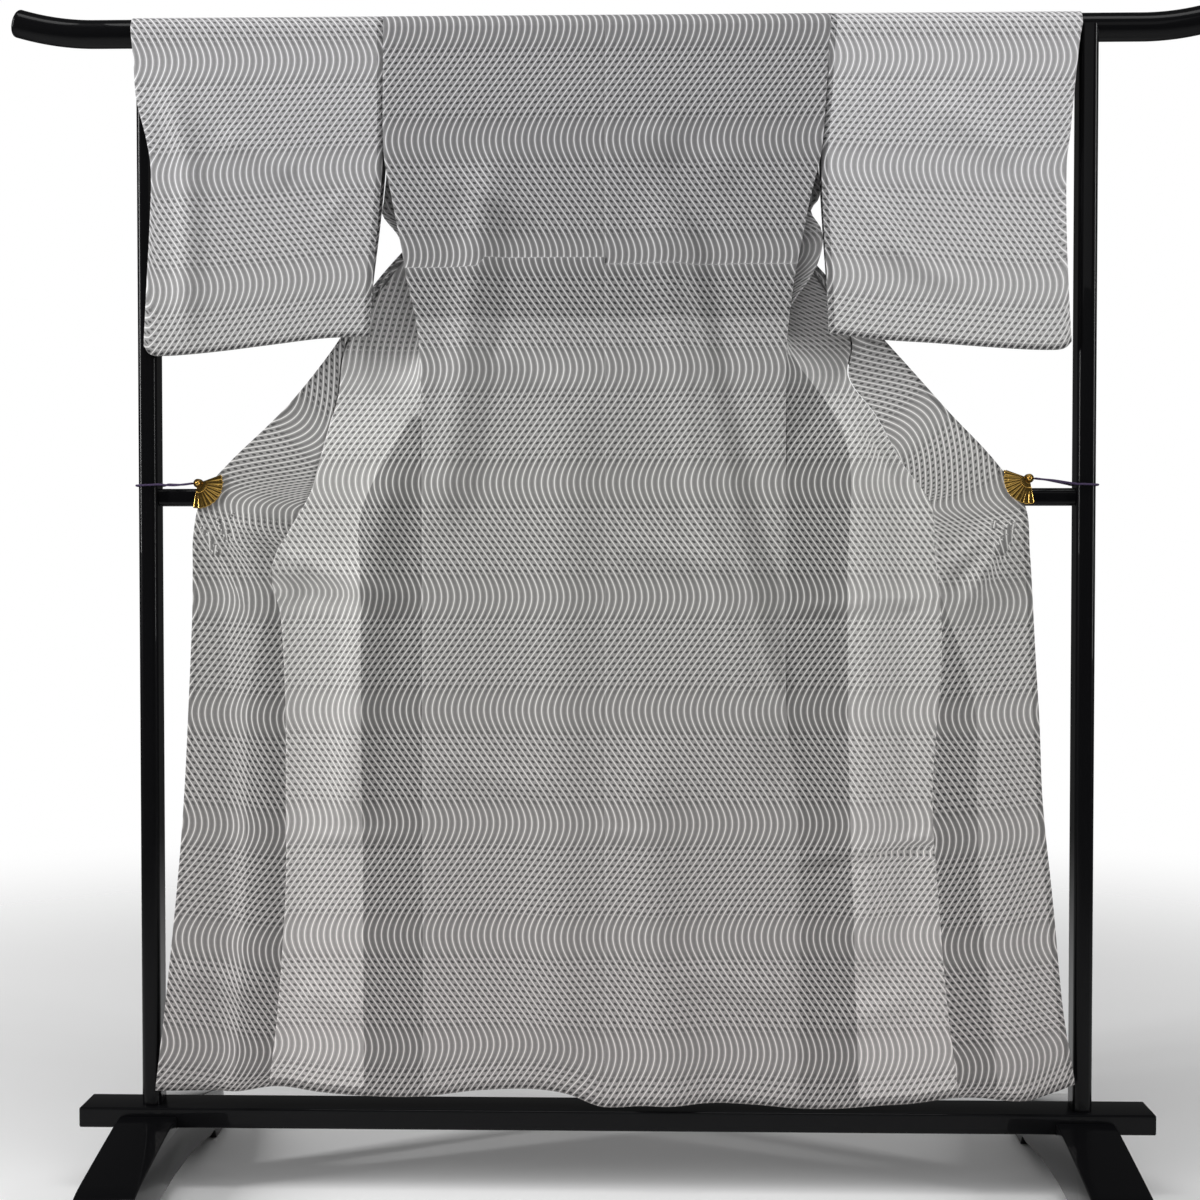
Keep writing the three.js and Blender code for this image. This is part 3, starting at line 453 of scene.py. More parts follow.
def seam_step(rows, z):
    side, outer, fold_in = (at(rows, "z", c, z) for c in ("side", "outer", "foldIn"))
    return (SEAM_GAP + SEAM_TURN * fold_in) / max(EDGE_SPAN, abs(outer - side) + math.pi * fold_in)


# %% [markdown]
# ## Doubled cloth
#
# The garment is unlined, so cloth lies double at seam allowances, the tuck across the back and
# the hems. There more of the grey ground shows and the dots read darker, and the whole colour is
# painted darker too: a painted shade for the bright room behind, which shines less through two
# layers. Each vertex stores how far inside such a band it lies, in millimetres, and the cloth
# material turns that into a crisp edge.

# %% Bands of doubled cloth
BANDS = {
    -1: {
        "front": table("z to", "1150 285\n 1010 357\n 900 357\n 500 357\n 145 357"),
        "okumi": table("z to", "900 486\n 740 523\n 585 529\n 435 531\n 266 541\n 145 551"),
    },
    1: {
        "front": table("z to", "1240 275\n 1120 350\n 900 354\n 600 358\n 145 375"),
        "okumi": table("z to", "900 486\n 740 538\n 585 544\n 438 550\n 291 565\n 145 578"),
    },
}
HEM_BAND = 12
EDGE_BAND = 9
TUCK_BAND = 1291


def tuck_height(x):
    """The tuck's sewn line, a little lower towards the left side and on the right half."""
    if x >= 0:
        return 1370
    return mix(1380, 1366, smooth((-x - 172) / 16))


def back_bands(x, z):
    tuck = min(tuck_height(x) - z, z - TUCK_BAND)
    return max(tuck, HEM_BAND - (z - HEM_LEVEL))


def front_bands(sign, u, z):
    band = BANDS[sign]["front"]
    return max(min(at(band, "z", "to", z) - u, band[0]["z"] - z), HEM_BAND - (z - HEM_LEVEL))


def okumi_bands(sign, u, z, from_edge):
    band = BANDS[sign]["okumi"]
    inner = min(at(band, "z", "to", z) - u, band[0]["z"] - z)
    return max(inner, EDGE_BAND - from_edge, HEM_BAND - (z - HEM_LEVEL))


# %% [markdown]
# ## Cloth from a grid
#
# `create_grid` gives a flat square of faces. Each vertex is moved to its place on the surface, the
# UV map takes the cloth's own measure (across and along, in metres), and a Solidify modifier gives
# the wall its thickness on the inner side.

# %% Cloth builder
WALL = 0.0012


def cloth_piece(name, points, measure, doubled, above, tone, flip):
    """points[i][j] with its cloth measure (u, v), its two bands and its tone, for row i and column j."""
    rows = len(points)
    columns = len(points[0])
    bm = bmesh.new()
    uv = bm.loops.layers.uv.new("cloth")
    band = bm.verts.layers.float.new("doubled")
    upper = bm.verts.layers.float.new("above")
    shade = bm.verts.layers.float.new("tone")
    bmesh.ops.create_grid(bm, x_segments=columns - 1, y_segments=rows - 1, size=0.5)
    cell = {}
    for v in bm.verts:
        j = round((v.co.x + 0.5) * (columns - 1))
        i = round((v.co.y + 0.5) * (rows - 1))
        cell[v] = (i, j)
    for v, (i, j) in cell.items():
        v.co = points[i][j]
        v[band] = doubled[i][j]
        v[upper] = above[i][j] if above else -10.0
        # The tone layer carries each piece's painted shade.
        v[shade] = tone[i] if isinstance(tone, list) else tone
    for face in bm.faces:
        for loop in face.loops:
            i, j = cell[loop.vert]
            loop[uv].uv = measure[i][j]
    if flip:
        bmesh.ops.reverse_faces(bm, faces=bm.faces[:])
    mesh = bpy.data.meshes.new(name)
    bm.to_mesh(mesh)
    bm.free()
    for polygon in mesh.polygons:
        polygon.use_smooth = True
    piece = bpy.data.objects.new(name, mesh)
    bpy.context.scene.collection.objects.link(piece)
    wall = piece.modifiers.new("wall", "SOLIDIFY")
    wall.thickness = WALL
    wall.offset = -1
    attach(piece, "root")
    print(name, "faces", len(mesh.polygons))
    return piece


def spread(high, low, count):
    return [high + (low - high) * k / (count - 1) for k in range(count)]


def across(points, start, sign):
    """Distance of each point along its own row from column `start`, signed towards +X."""
    total = 0.0
    out = [0.0] * len(points)
    for j in range(start + 1, len(points)):
        total += (points[j] - points[j - 1]).length
        out[j] = sign * total
    total = 0.0
    for j in range(start - 1, -1, -1):
        total += (points[j] - points[j + 1]).length
        out[j] = -sign * total
    return out


# %% [markdown]
# ## Body pieces
#
# Each half of the body is one strip: up the back, over the rail at the shoulder, and down the front,
# where it ends at the okumi seam. The back and front edges meet at the side seam below the arm.

# %% Body
BODY_COLUMNS = 57
BODY_HEIGHTS = spread(RAIL_Z, 1392, 40) + spread(1388, 1360, 15) + spread(1352, HEM_LEVEL, 146)
TURN_ROWS = 13
TURN_LENGTH = 74  # cloth taken up by the turn over the rail
# Painted shade per piece of cloth: darker where more cloth hangs behind and less light from the bright room
# shines through, and set apart left and right by how the lamps fall.
BACK_PAINTED_SHADE = 0.68  # how far each stretch of cloth is from the palest (0) towards doubled cloth (1)
FRONT_PAINTED_SHADE = {-1: 0.14, 1: 0.22}
OKUMI_PAINTED_SHADE = {-1: 0.75, 1: 0.55}
SLEEVE_PAINTED_SHADE = {-1: 0.46, 1: 0.14}


def body(name, rows, sign):
    shares = [j / (BODY_COLUMNS - 1) for j in range(BODY_COLUMNS)]
    points = []
    doubled = []
    above = []
    measure = []
    tone = []
    for z in reversed(BODY_HEIGHTS):
        tone.append(BACK_PAINTED_SHADE)
        row = [back_point(rows, sign, s, z) for s in shares]
        places = [p.x / MM - CENTRE_X for p in row]
        points.append(row)
        doubled.append([back_bands(x, z) for x in places])
        above.append([z - tuck_height(x) for x in places])
        measure.append([(x * MM, z * MM) for x in places])
    neck_in = at(rows, "z", "outer", RAIL_Z)
    armhole = at(rows, "z", "side", RAIL_Z) - SEAM_GAP
    for k in range(1, TURN_ROWS + 1):
        angle = math.pi * k / (TURN_ROWS + 1)
        inner = mix(SEAM_GAP / 2, neck_in, smooth((math.degrees(angle) - 90) / 90))
        y = -WRAP_DEPTH * math.cos(angle)
        z = RAIL_Z + WRAP_RISE * math.sin(angle)
        row = [place(sign, mix(inner, armhole, s), y, z) for s in shares]
        points.append(row)
        tone.append(BACK_PAINTED_SHADE)
        doubled.append([-10.0] * BODY_COLUMNS)
        above.append([10.0] * BODY_COLUMNS)
        measure.append([(p.x - CENTRE_X * MM, (RAIL_Z + TURN_LENGTH * angle / math.pi) * MM) for p in row])
    for z in BODY_HEIGHTS:
        end = seam_share(rows, z)
        last = 1.0 if end == 1.0 else end - seam_step(rows, z)
        row = [front_point(rows, sign, (1 - s) * last, z) for s in shares]
        points.append(row)
        tone.append(FRONT_PAINTED_SHADE[sign])
        doubled.append([front_bands(sign, abs(p.x / MM - CENTRE_X), z) for p in row])
        above.append([-10.0] * BODY_COLUMNS)
        side = sign * at(rows, "z", "side", z) * MM
        measure.append([(side + d, z * MM) for d in across(row, BODY_COLUMNS - 1, -sign)])
    piece = cloth_piece(name, points, measure, doubled, above, tone, sign < 0)
    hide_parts(name)
    return piece


body_left = body("body_left", LEFT_SECTIONS, -1)
body_right = body("body_right", RIGHT_SECTIONS, 1)

# %% [markdown]
# ## Okumi
#
# The okumi is the narrow gore sewn to each front edge. It takes the pull of the clip, so its grain
# runs along the taut edge above the clip and straight down below it.

# %% Okumi
OKUMI_COLUMNS = 21
OKUMI_HEIGHTS = spread(OKUMI_TOP, HEM_LEVEL, 170)


def edge_run(rows):
    """For each okumi row: length of the free edge up from the hem, and its lean from upright."""
    run = [0.0]
    for upper, lower in zip(reversed(OKUMI_HEIGHTS[:-1]), reversed(OKUMI_HEIGHTS[1:])):
        step = at(rows, "z", "outer", upper) - at(rows, "z", "outer", lower)
        run.append(run[-1] + math.hypot(step, upper - lower))
    lean = []
    for z in OKUMI_HEIGHTS:
        step = at(rows, "z", "outer", z - 18) - at(rows, "z", "outer", z + 18)
        lean.append(max(0.0, math.atan2(step, 36)))
    return run[::-1], lean


def okumi(name, rows, sign):
    points = []
    doubled = []
    measure = []
    run, lean = edge_run(rows)
    base = sign * at(rows, "z", "outer", HEM_LEVEL) * MM
    for i, z in enumerate(OKUMI_HEIGHTS):
        start = seam_share(rows, z) + seam_step(rows, z)
        row = [front_point(rows, sign, share, z) for share in spread(start, 1, OKUMI_COLUMNS)]
        points.append(row)
        away = [abs(d) for d in across(row, OKUMI_COLUMNS - 1, sign)]
        doubled.append([okumi_bands(sign, abs(p.x / MM - CENTRE_X), z, d / MM) for p, d in zip(row, away)])
        side = math.cos(lean[i])
        rise = math.sin(lean[i])
        height = (HEM_LEVEL + run[i]) * MM
        measure.append([(base - sign * d * side, height + d * rise) for d in away])
    piece = cloth_piece(name, points, measure, doubled, None, OKUMI_PAINTED_SHADE[sign], sign > 0)
    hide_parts(name)
    return piece


okumi_left = okumi("okumi_left", LEFT_SECTIONS, -1)
okumi_right = okumi("okumi_right", RIGHT_SECTIONS, 1)

# %% [markdown]
# ## Sleeves
#
# A sleeve is one width of cloth folded over at the top, which here is where the rail runs. Its two
# layers are sewn along the foot, with a rounded outer corner, and up the outer edge as far as the
# open cuff. The post stands in the cuff, so the far layer draws in past it.

# %% Sleeves
SLEEVE_COLUMNS = 57
SLEEVE_HEIGHTS = spread(RAIL_Z, SLEEVE_LOW, 92)
SLEEVE_PHASE = -0.117
SLEEVE_CROWD = 1.15  # draws the columns a little closer together towards the cuff
SLEEVE_SPAN = (325, 690)
SEAM_ALLOWANCE = 9
FOOT_ALLOWANCE = 8


def sleeve(name, rows, foot, sign):
    shares = [1 - (1 - j / (SLEEVE_COLUMNS - 1)) ** SLEEVE_CROWD for j in range(SLEEVE_COLUMNS)]

    def row_z(s, z):
        low = at(foot, "share", "z", s)
        return RAIL_Z - (RAIL_Z - low) * ((RAIL_Z - z) / (RAIL_Z - SLEEVE_LOW))

    def near_y(s, z):
        x = sign * mix(*SLEEVE_SPAN, s)
        rise = max(0.0, relief(x, z) - BASE_RISE)
        return -WRAP_DEPTH - (SLEEVE_FORWARD + rise) * smooth((RAIL_Z - z) / 150)

    def near(s, z):
        zs = row_z(s, z)
        u = mix(at(rows, "z", "inner", zs) + SEAM_GAP, at(rows, "z", "outer", zs), s)
        return place(sign, u, near_y(s, zs), zs)

    def far(s, z):
        zs = row_z(s, z)
        close = mix(at(foot, "share", "z", s), CUFF_FOOT, smooth((s - 0.72) / 0.28))
        t = min(1.0, (RAIL_Z - zs) / (RAIL_Z - close))
        y = mix(WRAP_DEPTH, near_y(s, zs) + LAYERS_SEWN, t ** mix(1.3, 3, smooth((s - 0.5) / 0.4)))
        u = mix(at(rows, "z", "inner", zs) + SEAM_GAP, at(rows, "z", "far", zs), s)
        return place(sign, u, y, zs)

    def over(s, angle):
        u = mix(at(rows, "z", "inner", RAIL_Z) + SEAM_GAP, at(rows, "z", "outer", RAIL_Z), s)
        return place(sign, u, -WRAP_DEPTH * math.cos(angle), RAIL_Z + WRAP_RISE * math.sin(angle))

    turns = [math.pi * k / (TURN_ROWS + 1) for k in range(1, TURN_ROWS + 1)]
    points = [[near(s, z) for s in shares] for z in reversed(SLEEVE_HEIGHTS)]
    points += [[over(s, angle) for s in shares] for angle in turns]
    points += [[far(s, z) for s in shares] for z in SLEEVE_HEIGHTS]
    along = [z * MM for z in reversed(SLEEVE_HEIGHTS)]
    along += [(RAIL_Z + TURN_LENGTH * angle / math.pi) * MM for angle in turns]
    along += [(2 * RAIL_Z + TURN_LENGTH - z) * MM for z in SLEEVE_HEIGHTS]
    measure = [[(p.x, v + SLEEVE_PHASE) for p in row] for row, v in zip(points, along)]
    doubled = []
    for row in points:
        inner = CENTRE_X + sign * at(rows, "z", "inner", row[0].z / MM)
        doubled.append([max(SEAM_ALLOWANCE - abs(p.x / MM - inner), FOOT_ALLOWANCE - (p.z - q.z) / MM)
                        for p, q in zip(row, points[0])])
    piece = cloth_piece(name, points, measure, doubled, None, SLEEVE_PAINTED_SHADE[sign], sign < 0)
    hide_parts(name)
    return piece


sleeve_left = sleeve("sleeve_left", LEFT_SLEEVE, LEFT_SLEEVE_FOOT, -1)
sleeve_right = sleeve("sleeve_right", RIGHT_SLEEVE, RIGHT_SLEEVE_FOOT, 1)

# %% [markdown]
# ## Collar
#
# The collar is one long strip, doubled to half its width. Seen from here it lies behind the front
# edges: it crosses the neck behind the rail and runs down each side, turned back flat.

# %% Collar
COLLAR_WIDTH = 55
COLLAR_BEHIND = 2
COLLAR_COLUMNS = 9
NECK_TOP = 1722
NECK_SAG = 8
NECK_REACH = 0.84
NECK_NARROW = 0.1
NECK_LAP = 0.004
COLLAR_PLUMB = 985  # below this the strip is measured straight across, above it square to its slope
COLLAR_PLUMB_EASE = 55


def collar_rows(rows, sign, heights):
    out = []
    for z in heights:
        edge = front_point(rows, sign, 1, z) / MM
        ahead = front_point(rows, sign, 1, z + 20) / MM
        side = abs(ahead.x - edge.x)
        rise = ahead.z - edge.z
        length = math.hypot(side, rise)
        slant = 1 - smooth((z - COLLAR_PLUMB) / COLLAR_PLUMB_EASE)
        inward = mix(rise / length, 1, slant)
        lean = at(COLLAR_LEAN, "z", "lean", z)
        inset = at(COLLAR_LEAN, "z", "inset", z)
        row = []
        for j in range(COLLAR_COLUMNS):
            w = COLLAR_WIDTH * j / (COLLAR_COLUMNS - 1)
            drop = w * side / length * (1 - slant)
            x = edge.x - sign * (inset + w * inward)
            y = edge.y + COLLAR_BEHIND + lean * w
            y += wing_lift(edge.x - CENTRE_X, z) - wing_lift(x - CENTRE_X, z - drop)
            row.append(Vector((x, y, edge.z - drop)) * MM)
        out.append(row)
    return out


def collar_piece(name, points, flip):
    measure = []
    run = 0.0
    for i, row in enumerate(points):
        if i:
            run += (row[0] - points[i - 1][0]).length
        measure.append([(j * COLLAR_WIDTH * MM / (COLLAR_COLUMNS - 1), run) for j in range(COLLAR_COLUMNS)])
    doubled = [[EDGE_BAND] * COLLAR_COLUMNS for _ in points]
    # The doubled collar strip is painted at the full deep tone: real doubled cloth, painted darker as a
    # painted shade for less light shining through.
    piece = cloth_piece(name, points, measure, doubled, None, 1.0, flip)
    piece.modifiers["wall"].thickness = 0.0018
    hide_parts(name)
    return piece


def neck_rows():
    heights = spread(1690, 1480, 26)
    left = collar_rows(LEFT_SECTIONS, -1, heights)[::-1]
    right = collar_rows(RIGHT_SECTIONS, 1, heights)
    low = left[-1][-1].z
    middle = (left[-1][0].x + right[0][0].x) / 2
    half = abs(left[-1][0].x - right[0][0].x) / 2
    behind = (WRAP_DEPTH + COLLAR_BEHIND) * MM
    bridge = []
    for share in spread(-NECK_REACH, NECK_REACH, 15):
        top = (NECK_TOP - NECK_SAG * (share / 0.7) ** 2) * MM
        row = []
        for j in range(COLLAR_COLUMNS):
            t = j / (COLLAR_COLUMNS - 1)
            x = middle + share * half * mix(1, NECK_NARROW, t)
            row.append(Vector((x, behind, mix(top, low - NECK_LAP, t))))
        bridge.append(row)
    for row in (left[-1], right[0]):
        side = math.copysign(1, row[0].x - middle)
        for j, p in enumerate(row):
            least = half * 0.2 * (1 - j / (COLLAR_COLUMNS - 1)) + 0.005
            p.x = max(side * (p.x - middle), least) * side + middle
    return left + bridge + right


collar_neck = collar_piece("collar_neck", neck_rows(), True)
LEG_HEIGHTS = spread(1398, 945, 70)
collar_left = collar_piece("collar_left", collar_rows(LEFT_SECTIONS, -1, LEG_HEIGHTS), False)
collar_right = collar_piece("collar_right", collar_rows(RIGHT_SECTIONS, 1, LEG_HEIGHTS), True)

# %% [markdown]
# ## Stand
#
# The stand is turned and planed wood under many coats of black lacquer, polished to a mirror. Two
# posts are tenoned into a base board that is let into two arched feet. The rail rests in a saddle
# cut in the top of each post, and its ends sweep up a little.

# %% Hard pieces
def closed_tube(name, stations, sides):
    """A round bar: each station is its centre, its radius and the two directions of its ring."""
    bm = bmesh.new()
    bmesh.ops.create_grid(bm, x_segments=sides, y_segments=len(stations) - 1, size=0.5)
    for v in bm.verts:
        k = round((v.co.x + 0.5) * sides)
        i = round((v.co.y + 0.5) * (len(stations) - 1))
        centre, radius, right, up = stations[i]
        angle = 2 * math.pi * k / sides
        v.co = centre + radius * (math.cos(angle) * right + math.sin(angle) * up)
    bmesh.ops.remove_doubles(bm, verts=bm.verts, dist=2e-6)
    bmesh.ops.recalc_face_normals(bm, faces=bm.faces)
    return hard_piece(name, bm)


def hard_piece(name, bm, crisp=35):
    mesh = bpy.data.meshes.new(name)
    bm.to_mesh(mesh)
    bm.free()
    for polygon in mesh.polygons:
        polygon.use_smooth = True
    mesh.set_sharp_from_angle(angle=math.radians(crisp))
    piece = bpy.data.objects.new(name, mesh)
    bpy.context.scene.collection.objects.link(piece)
    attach(piece, "root")
    print(name, "faces", len(mesh.polygons))
    return piece


def bar(low, high, corner, long_axis):
    """A planed bar between two corners, with rounded edges; long_axis rounds only its long edges."""
    bm = bmesh.new()
    bmesh.ops.create_cube(bm, size=1)
    for v in bm.verts:
        v.co = Vector(low[k] if v.co[k] < 0 else high[k] for k in range(3))
    edges = bm.edges[:]
    if long_axis is not None:
        edges = [e for e in edges if abs((e.verts[0].co - e.verts[1].co)[long_axis]) > 1e-6]
    bmesh.ops.bevel(bm, geom=edges, offset=corner, segments=6, profile=0.5, affect="EDGES", material=-1)
    return bm


X_AXIS = Vector((1, 0, 0))
Y_AXIS = Vector((0, 1, 0))
Z_AXIS = Vector((0, 0, 1))
RAIL_RADIUS = 0.0205
RAIL_HALF = 0.888
RAIL_STRAIGHT = 0.770
TIP_RISE = 0.018
TIP_ROUND = 0.005


def rail():
    end = RAIL_HALF - RAIL_STRAIGHT
    shares = [k / 16 for k in range(16)]
    half = []
    for t in shares:
        half.append((RAIL_STRAIGHT + (end - TIP_ROUND) * t, t, RAIL_RADIUS))
    for k in range(9):
        turn = math.pi / 2 * k / 8
        inset = TIP_ROUND * (1 - math.cos(turn))
        half.append((RAIL_HALF - TIP_ROUND * (1 - math.sin(turn)), 1, RAIL_RADIUS - inset))
    half.append((RAIL_HALF, 1, 0.0))
    stations = []
    for x, t, radius in [(-x, t, r) for x, t, r in reversed(half)] + half:
        share = min(1.0, max(0.0, (abs(x) - RAIL_STRAIGHT) / end))
        slope = math.copysign(2 * TIP_RISE * share / end, x)
        along = Vector((1, 0, slope)).normalized()
        centre = Vector((x, 0, RAIL_Z * MM + TIP_RISE * share * share))
        stations.append((centre, radius, Y_AXIS, along.cross(Y_AXIS)))
    piece = closed_tube("top_rail", stations, 48)
    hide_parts("top_rail")
    return piece


POST_X = 0.691
POST_HALF = 0.014
POST_DEPTH = 0.0225
POST_CORNER = 0.009
BOARD_TOP = 0.125
CLEAR = 0.0003


def post(name, x):
    """Slices across the depth of the post: half-width from its rounded corners, top from the saddle."""
    flat = POST_DEPTH - POST_CORNER
    turns = [flat + POST_CORNER * math.sin(math.pi / 2 * k / 9) for k in range(10)]
    inner = [flat * k / 8 for k in range(8)]
    depths = [-y for y in reversed(inner + turns)][:-1] + inner + turns
    saddle = RAIL_RADIUS + CLEAR
    bottom = BOARD_TOP + CLEAR
    bm = bmesh.new()
    slices = []
    for y in depths:
        out = max(0.0, abs(y) - flat)
        half = POST_HALF - POST_CORNER + math.sqrt(max(0.0, POST_CORNER ** 2 - out ** 2))
        top = RAIL_Z * MM - math.sqrt(max(0.0, saddle ** 2 - y * y))
        corners = ((x - half, bottom), (x + half, bottom), (x + half, top), (x - half, top))
        slices.append([bm.verts.new((px, y, pz)) for px, pz in corners])
    for near, far in zip(slices, slices[1:]):
        for k in range(4):
            bm.faces.new((near[k], near[(k + 1) % 4], far[(k + 1) % 4], far[k]))
    bm.faces.new(slices[0][::-1])
    bm.faces.new(slices[-1])
    bmesh.ops.recalc_face_normals(bm, faces=bm.faces)
    piece = hard_piece(name, bm)
    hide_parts(name)
    return piece


FOOT_HALF = 0.0425
FOOT_PROFILE = table("y z round", """
    35.3 112 1
    60 110 30
    150 93 90
    238 75 60
    262 67 12
    265 3 3
    212 0 2
    206 7 5
    197 18 5
    180 15 10
    120 21 60
    50 28 30
""")
FOOT_SEAT = (35.3, 94.7)


def rounded_outline(rows, steps=7):
    """An outline with an arc-like turn at each corner, from the corner's own radius."""
    out = []
    for k, row in enumerate(rows):
        p = Vector((row["y"], row["z"]))
        if k == 0 or k == len(rows) - 1:
            out.append(p)
            continue
        before = Vector((rows[k - 1]["y"], rows[k - 1]["z"])) - p
        after = Vector((rows[k + 1]["y"], rows[k + 1]["z"])) - p
        reach = min(row["round"], before.length * 0.45, after.length * 0.45)
        start = p + before.normalized() * reach
        end = p + after.normalized() * reach
        for n in range(steps):
            t = n / (steps - 1)
            out.append(start * (1 - t) ** 2 + p * 2 * t * (1 - t) + end * t * t)
    return out


def foot(name, x):
    side = rounded_outline(FOOT_PROFILE)
    seat = [Vector(FOOT_SEAT)]
    outline = seat + side + [Vector((-p.x, p.y)) for p in reversed(side)] + [Vector((-seat[0].x, seat[0].y))]
    bm = bmesh.new()
    verts = [bm.verts.new((x - FOOT_HALF, p.x * MM, p.y * MM)) for p in outline]
    face = bm.faces.new(verts)
    grown = bmesh.ops.extrude_face_region(bm, geom=[face])
    moved = [g for g in grown["geom"] if isinstance(g, bmesh.types.BMVert)]
    bmesh.ops.translate(bm, vec=(2 * FOOT_HALF, 0, 0), verts=moved)
    bmesh.ops.recalc_face_normals(bm, faces=bm.faces)
    rims = [e for e in bm.edges if abs(e.verts[0].co.x - e.verts[1].co.x) < 1e-6]
    bmesh.ops.bevel(bm, geom=rims, offset=0.002, segments=4, profile=0.5, affect="EDGES", material=-1,
                    clamp_overlap=True)
    piece = hard_piece(name, bm)
    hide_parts(name)
    return piece


def planed(name, low, high, corner, long_axis=None):
    piece = hard_piece(name, bar(low, high, corner, long_axis), crisp=60)
    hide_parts(name)
    return piece


# %% Stand
top_rail = rail()
post_left = post("post_left", -POST_X)
post_right = post("post_right", POST_X)
RAIL_REACH = POST_X - POST_HALF - CLEAR
mid_rail = planed("mid_rail", (-RAIL_REACH, -0.012, 1.018), (RAIL_REACH, 0.012, 1.044), 0.008, 0)
base_board = planed("base_board", (-0.795, -0.035, 0.095), (0.795, 0.035, BOARD_TOP), 0.003)
foot_left = foot("foot_left", -POST_X)
foot_right = foot("foot_right", POST_X)

# %% [markdown]
# ## Clips
#
# Each clip is stamped brass, gilt: a pleated fan leaf in front with a thin ring across its ribs, a
# turned knob at the pivot, and a plain jaw behind the cloth. A braided elastic loop from the knob
# goes round the post and pulls the front edge out.

# %% Clips
CLIP_RADIUS = 0.037
CLIP_SWEEP = 122
CLIP_RIBS = 10
LEAF_FRONT = -0.0356
LEAF_WALL = 0.0018
LEAF_RADII = [0.0062, 0.008, 0.011, 0.014, 0.018, 0.022, 0.026, 0.030, 0.034, 0.0362, CLIP_RADIUS]
RING_RADIUS = 0.0135
JAW_Y = -0.0250
CLIPS = table("x z start turn", """
    -612 1051 20 -1
    604 1057 160 1
""")


def polar_piece(name, clip, angles, face_at):
    """A plate in fan form: face_at(share of sweep, radius) gives its front's y and its radius there."""
    last = len(LEAF_RADII) - 1
    bm = bmesh.new()
    bmesh.ops.create_grid(bm, x_segments=angles, y_segments=last, size=0.5)
    for v in bm.verts:
        share = round((v.co.x + 0.5) * angles) / angles
        angle = math.radians(clip["start"] + clip["turn"] * CLIP_SWEEP * share)
        y, radius = face_at(share, LEAF_RADII[round((v.co.y + 0.5) * last)])
        x = clip["x"] * MM + radius * math.cos(angle)
        v.co = Vector((x, y, clip["z"] * MM + radius * math.sin(angle)))
    bm.normal_update()
    if sum(f.normal.y for f in bm.faces) > 0:
        bmesh.ops.reverse_faces(bm, faces=bm.faces[:])
    piece = hard_piece(name, bm, crisp=70)
    wall = piece.modifiers.new("wall", "SOLIDIFY")
    wall.thickness = LEAF_WALL
    wall.offset = -1
    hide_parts(name)
    return piece


def flat_jaw(share, radius):
    return JAW_Y, radius


def pleat(share, radius):
    """Ribs stand proud and the pleats between them fall away, deeper towards the rim."""
    wave = abs(math.sin(math.pi * CLIP_RIBS * share))
    rim = smooth((radius - 0.006) / 0.03)
    return LEAF_FRONT + 0.0011 * rim * (1 - wave ** 0.7), radius - 0.0008 * rim * (1 - wave)


def ring_across(name, clip, radius):
    stations = []
    count = 40
    for k in range(count + 1):
        angle = math.radians(clip["start"] + clip["turn"] * CLIP_SWEEP * k / count)
        out = Vector((math.cos(angle), 0, math.sin(angle)))
        centre = Vector((clip["x"] * MM, LEAF_FRONT - 0.0002, clip["z"] * MM)) + out * radius
        stations.append((centre, 0.0008 if 0 < k < count else 0.0, out, Y_AXIS))
    piece = closed_tube(name, stations, 10)
    return piece


KNOB = table("radius y", """
    0 -38.9
    1.8 -38.6
    3.0 -37.8
    3.5 -36.6
    3.3 -35.9
    6.2 -35.6
    6.6 -35.0
    6.6 -25.5
    6.2 -25.3
    0 -25.3
""")


def knob(name, clip):
    centre = Vector((clip["x"] * MM, 0, clip["z"] * MM))
    stations = [(centre + Y_AXIS * row["y"] * MM, row["radius"] * MM, X_AXIS, Z_AXIS) for row in KNOB]
    piece = closed_tube(name, stations, 32)
    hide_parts(name)
    return piece


def cord_route(clip):
    out = math.copysign(1, clip["x"])
    start = abs(clip["x"]) + 8.4
    z = clip["z"]
    route = [
        (start, -33.5, z), (start + 12, -32.5, z - 1.5), (start + 30, -30, z - 3), (672, -27.5, 1049.5),
        (684, -26.2, 1049), (697, -26, 1048.5), (706, -22, 1048.3), (708.5, -12, 1048.2), (708.5, 0, 1048.2),
        (708.5, 12, 1048.2), (706, 22, 1048.3), (697, 26, 1048.5), (685, 26, 1049), (675.5, 20, 1049.5),
        (670, 9, 1050), (662, -4, 1050.5), (start + 20, -17, z - 1.5), (start + 6, -25, z - 0.5),
        (start, -28.5, z),
    ]
    return [Vector((out * x, y, h)) * MM for x, y, h in route]


def smooth_path(route, steps):
    out = []
    for k in range(len(route) - 1):
        a = route[max(0, k - 1)]
        b = route[k]
        c = route[k + 1]
        d = route[min(len(route) - 1, k + 2)]
        for n in range(steps):
            t = n / steps
            out.append(0.5 * (2 * b + (c - a) * t + (2 * a - 5 * b + 4 * c - d) * t * t
                              + (3 * b - a - 3 * c + d) * t ** 3))
    out.append(route[-1])
    return out


def cord(name, clip):
    path = smooth_path(cord_route(clip), 6)
    stations = []
    for k, p in enumerate(path):
        along = (path[min(k + 1, len(path) - 1)] - path[max(k - 1, 0)]).normalized()
        right = along.cross(Z_AXIS).normalized()
        end = k in (0, len(path) - 1)
        stations.append((p, 0.0 if end else 0.0015, right, right.cross(along)))
    piece = closed_tube(name, stations, 14)
    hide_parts(name)
    return piece


for clip in CLIPS:
    side = "left" if clip["x"] < 0 else "right"
    polar_piece("clip_fan_" + side, clip, CLIP_RIBS * 12, pleat)
    ring_across("clip_ring_" + side, clip, RING_RADIUS)
    knob("clip_knob_" + side, clip)
    polar_piece("clip_jaw_" + side, clip, 40, flat_jaw)
    cord("clip_cord_" + side, clip)

# %% [markdown]
# ## Weave
#
# The silk carries a common woven repeat: pale lines that run down the cloth in long waves, with a
# row of small dark dots in each gap. The lines come from one formula on the cloth's own measure, so
# they follow every piece as it was cut, and the sleeves keep their own phase.

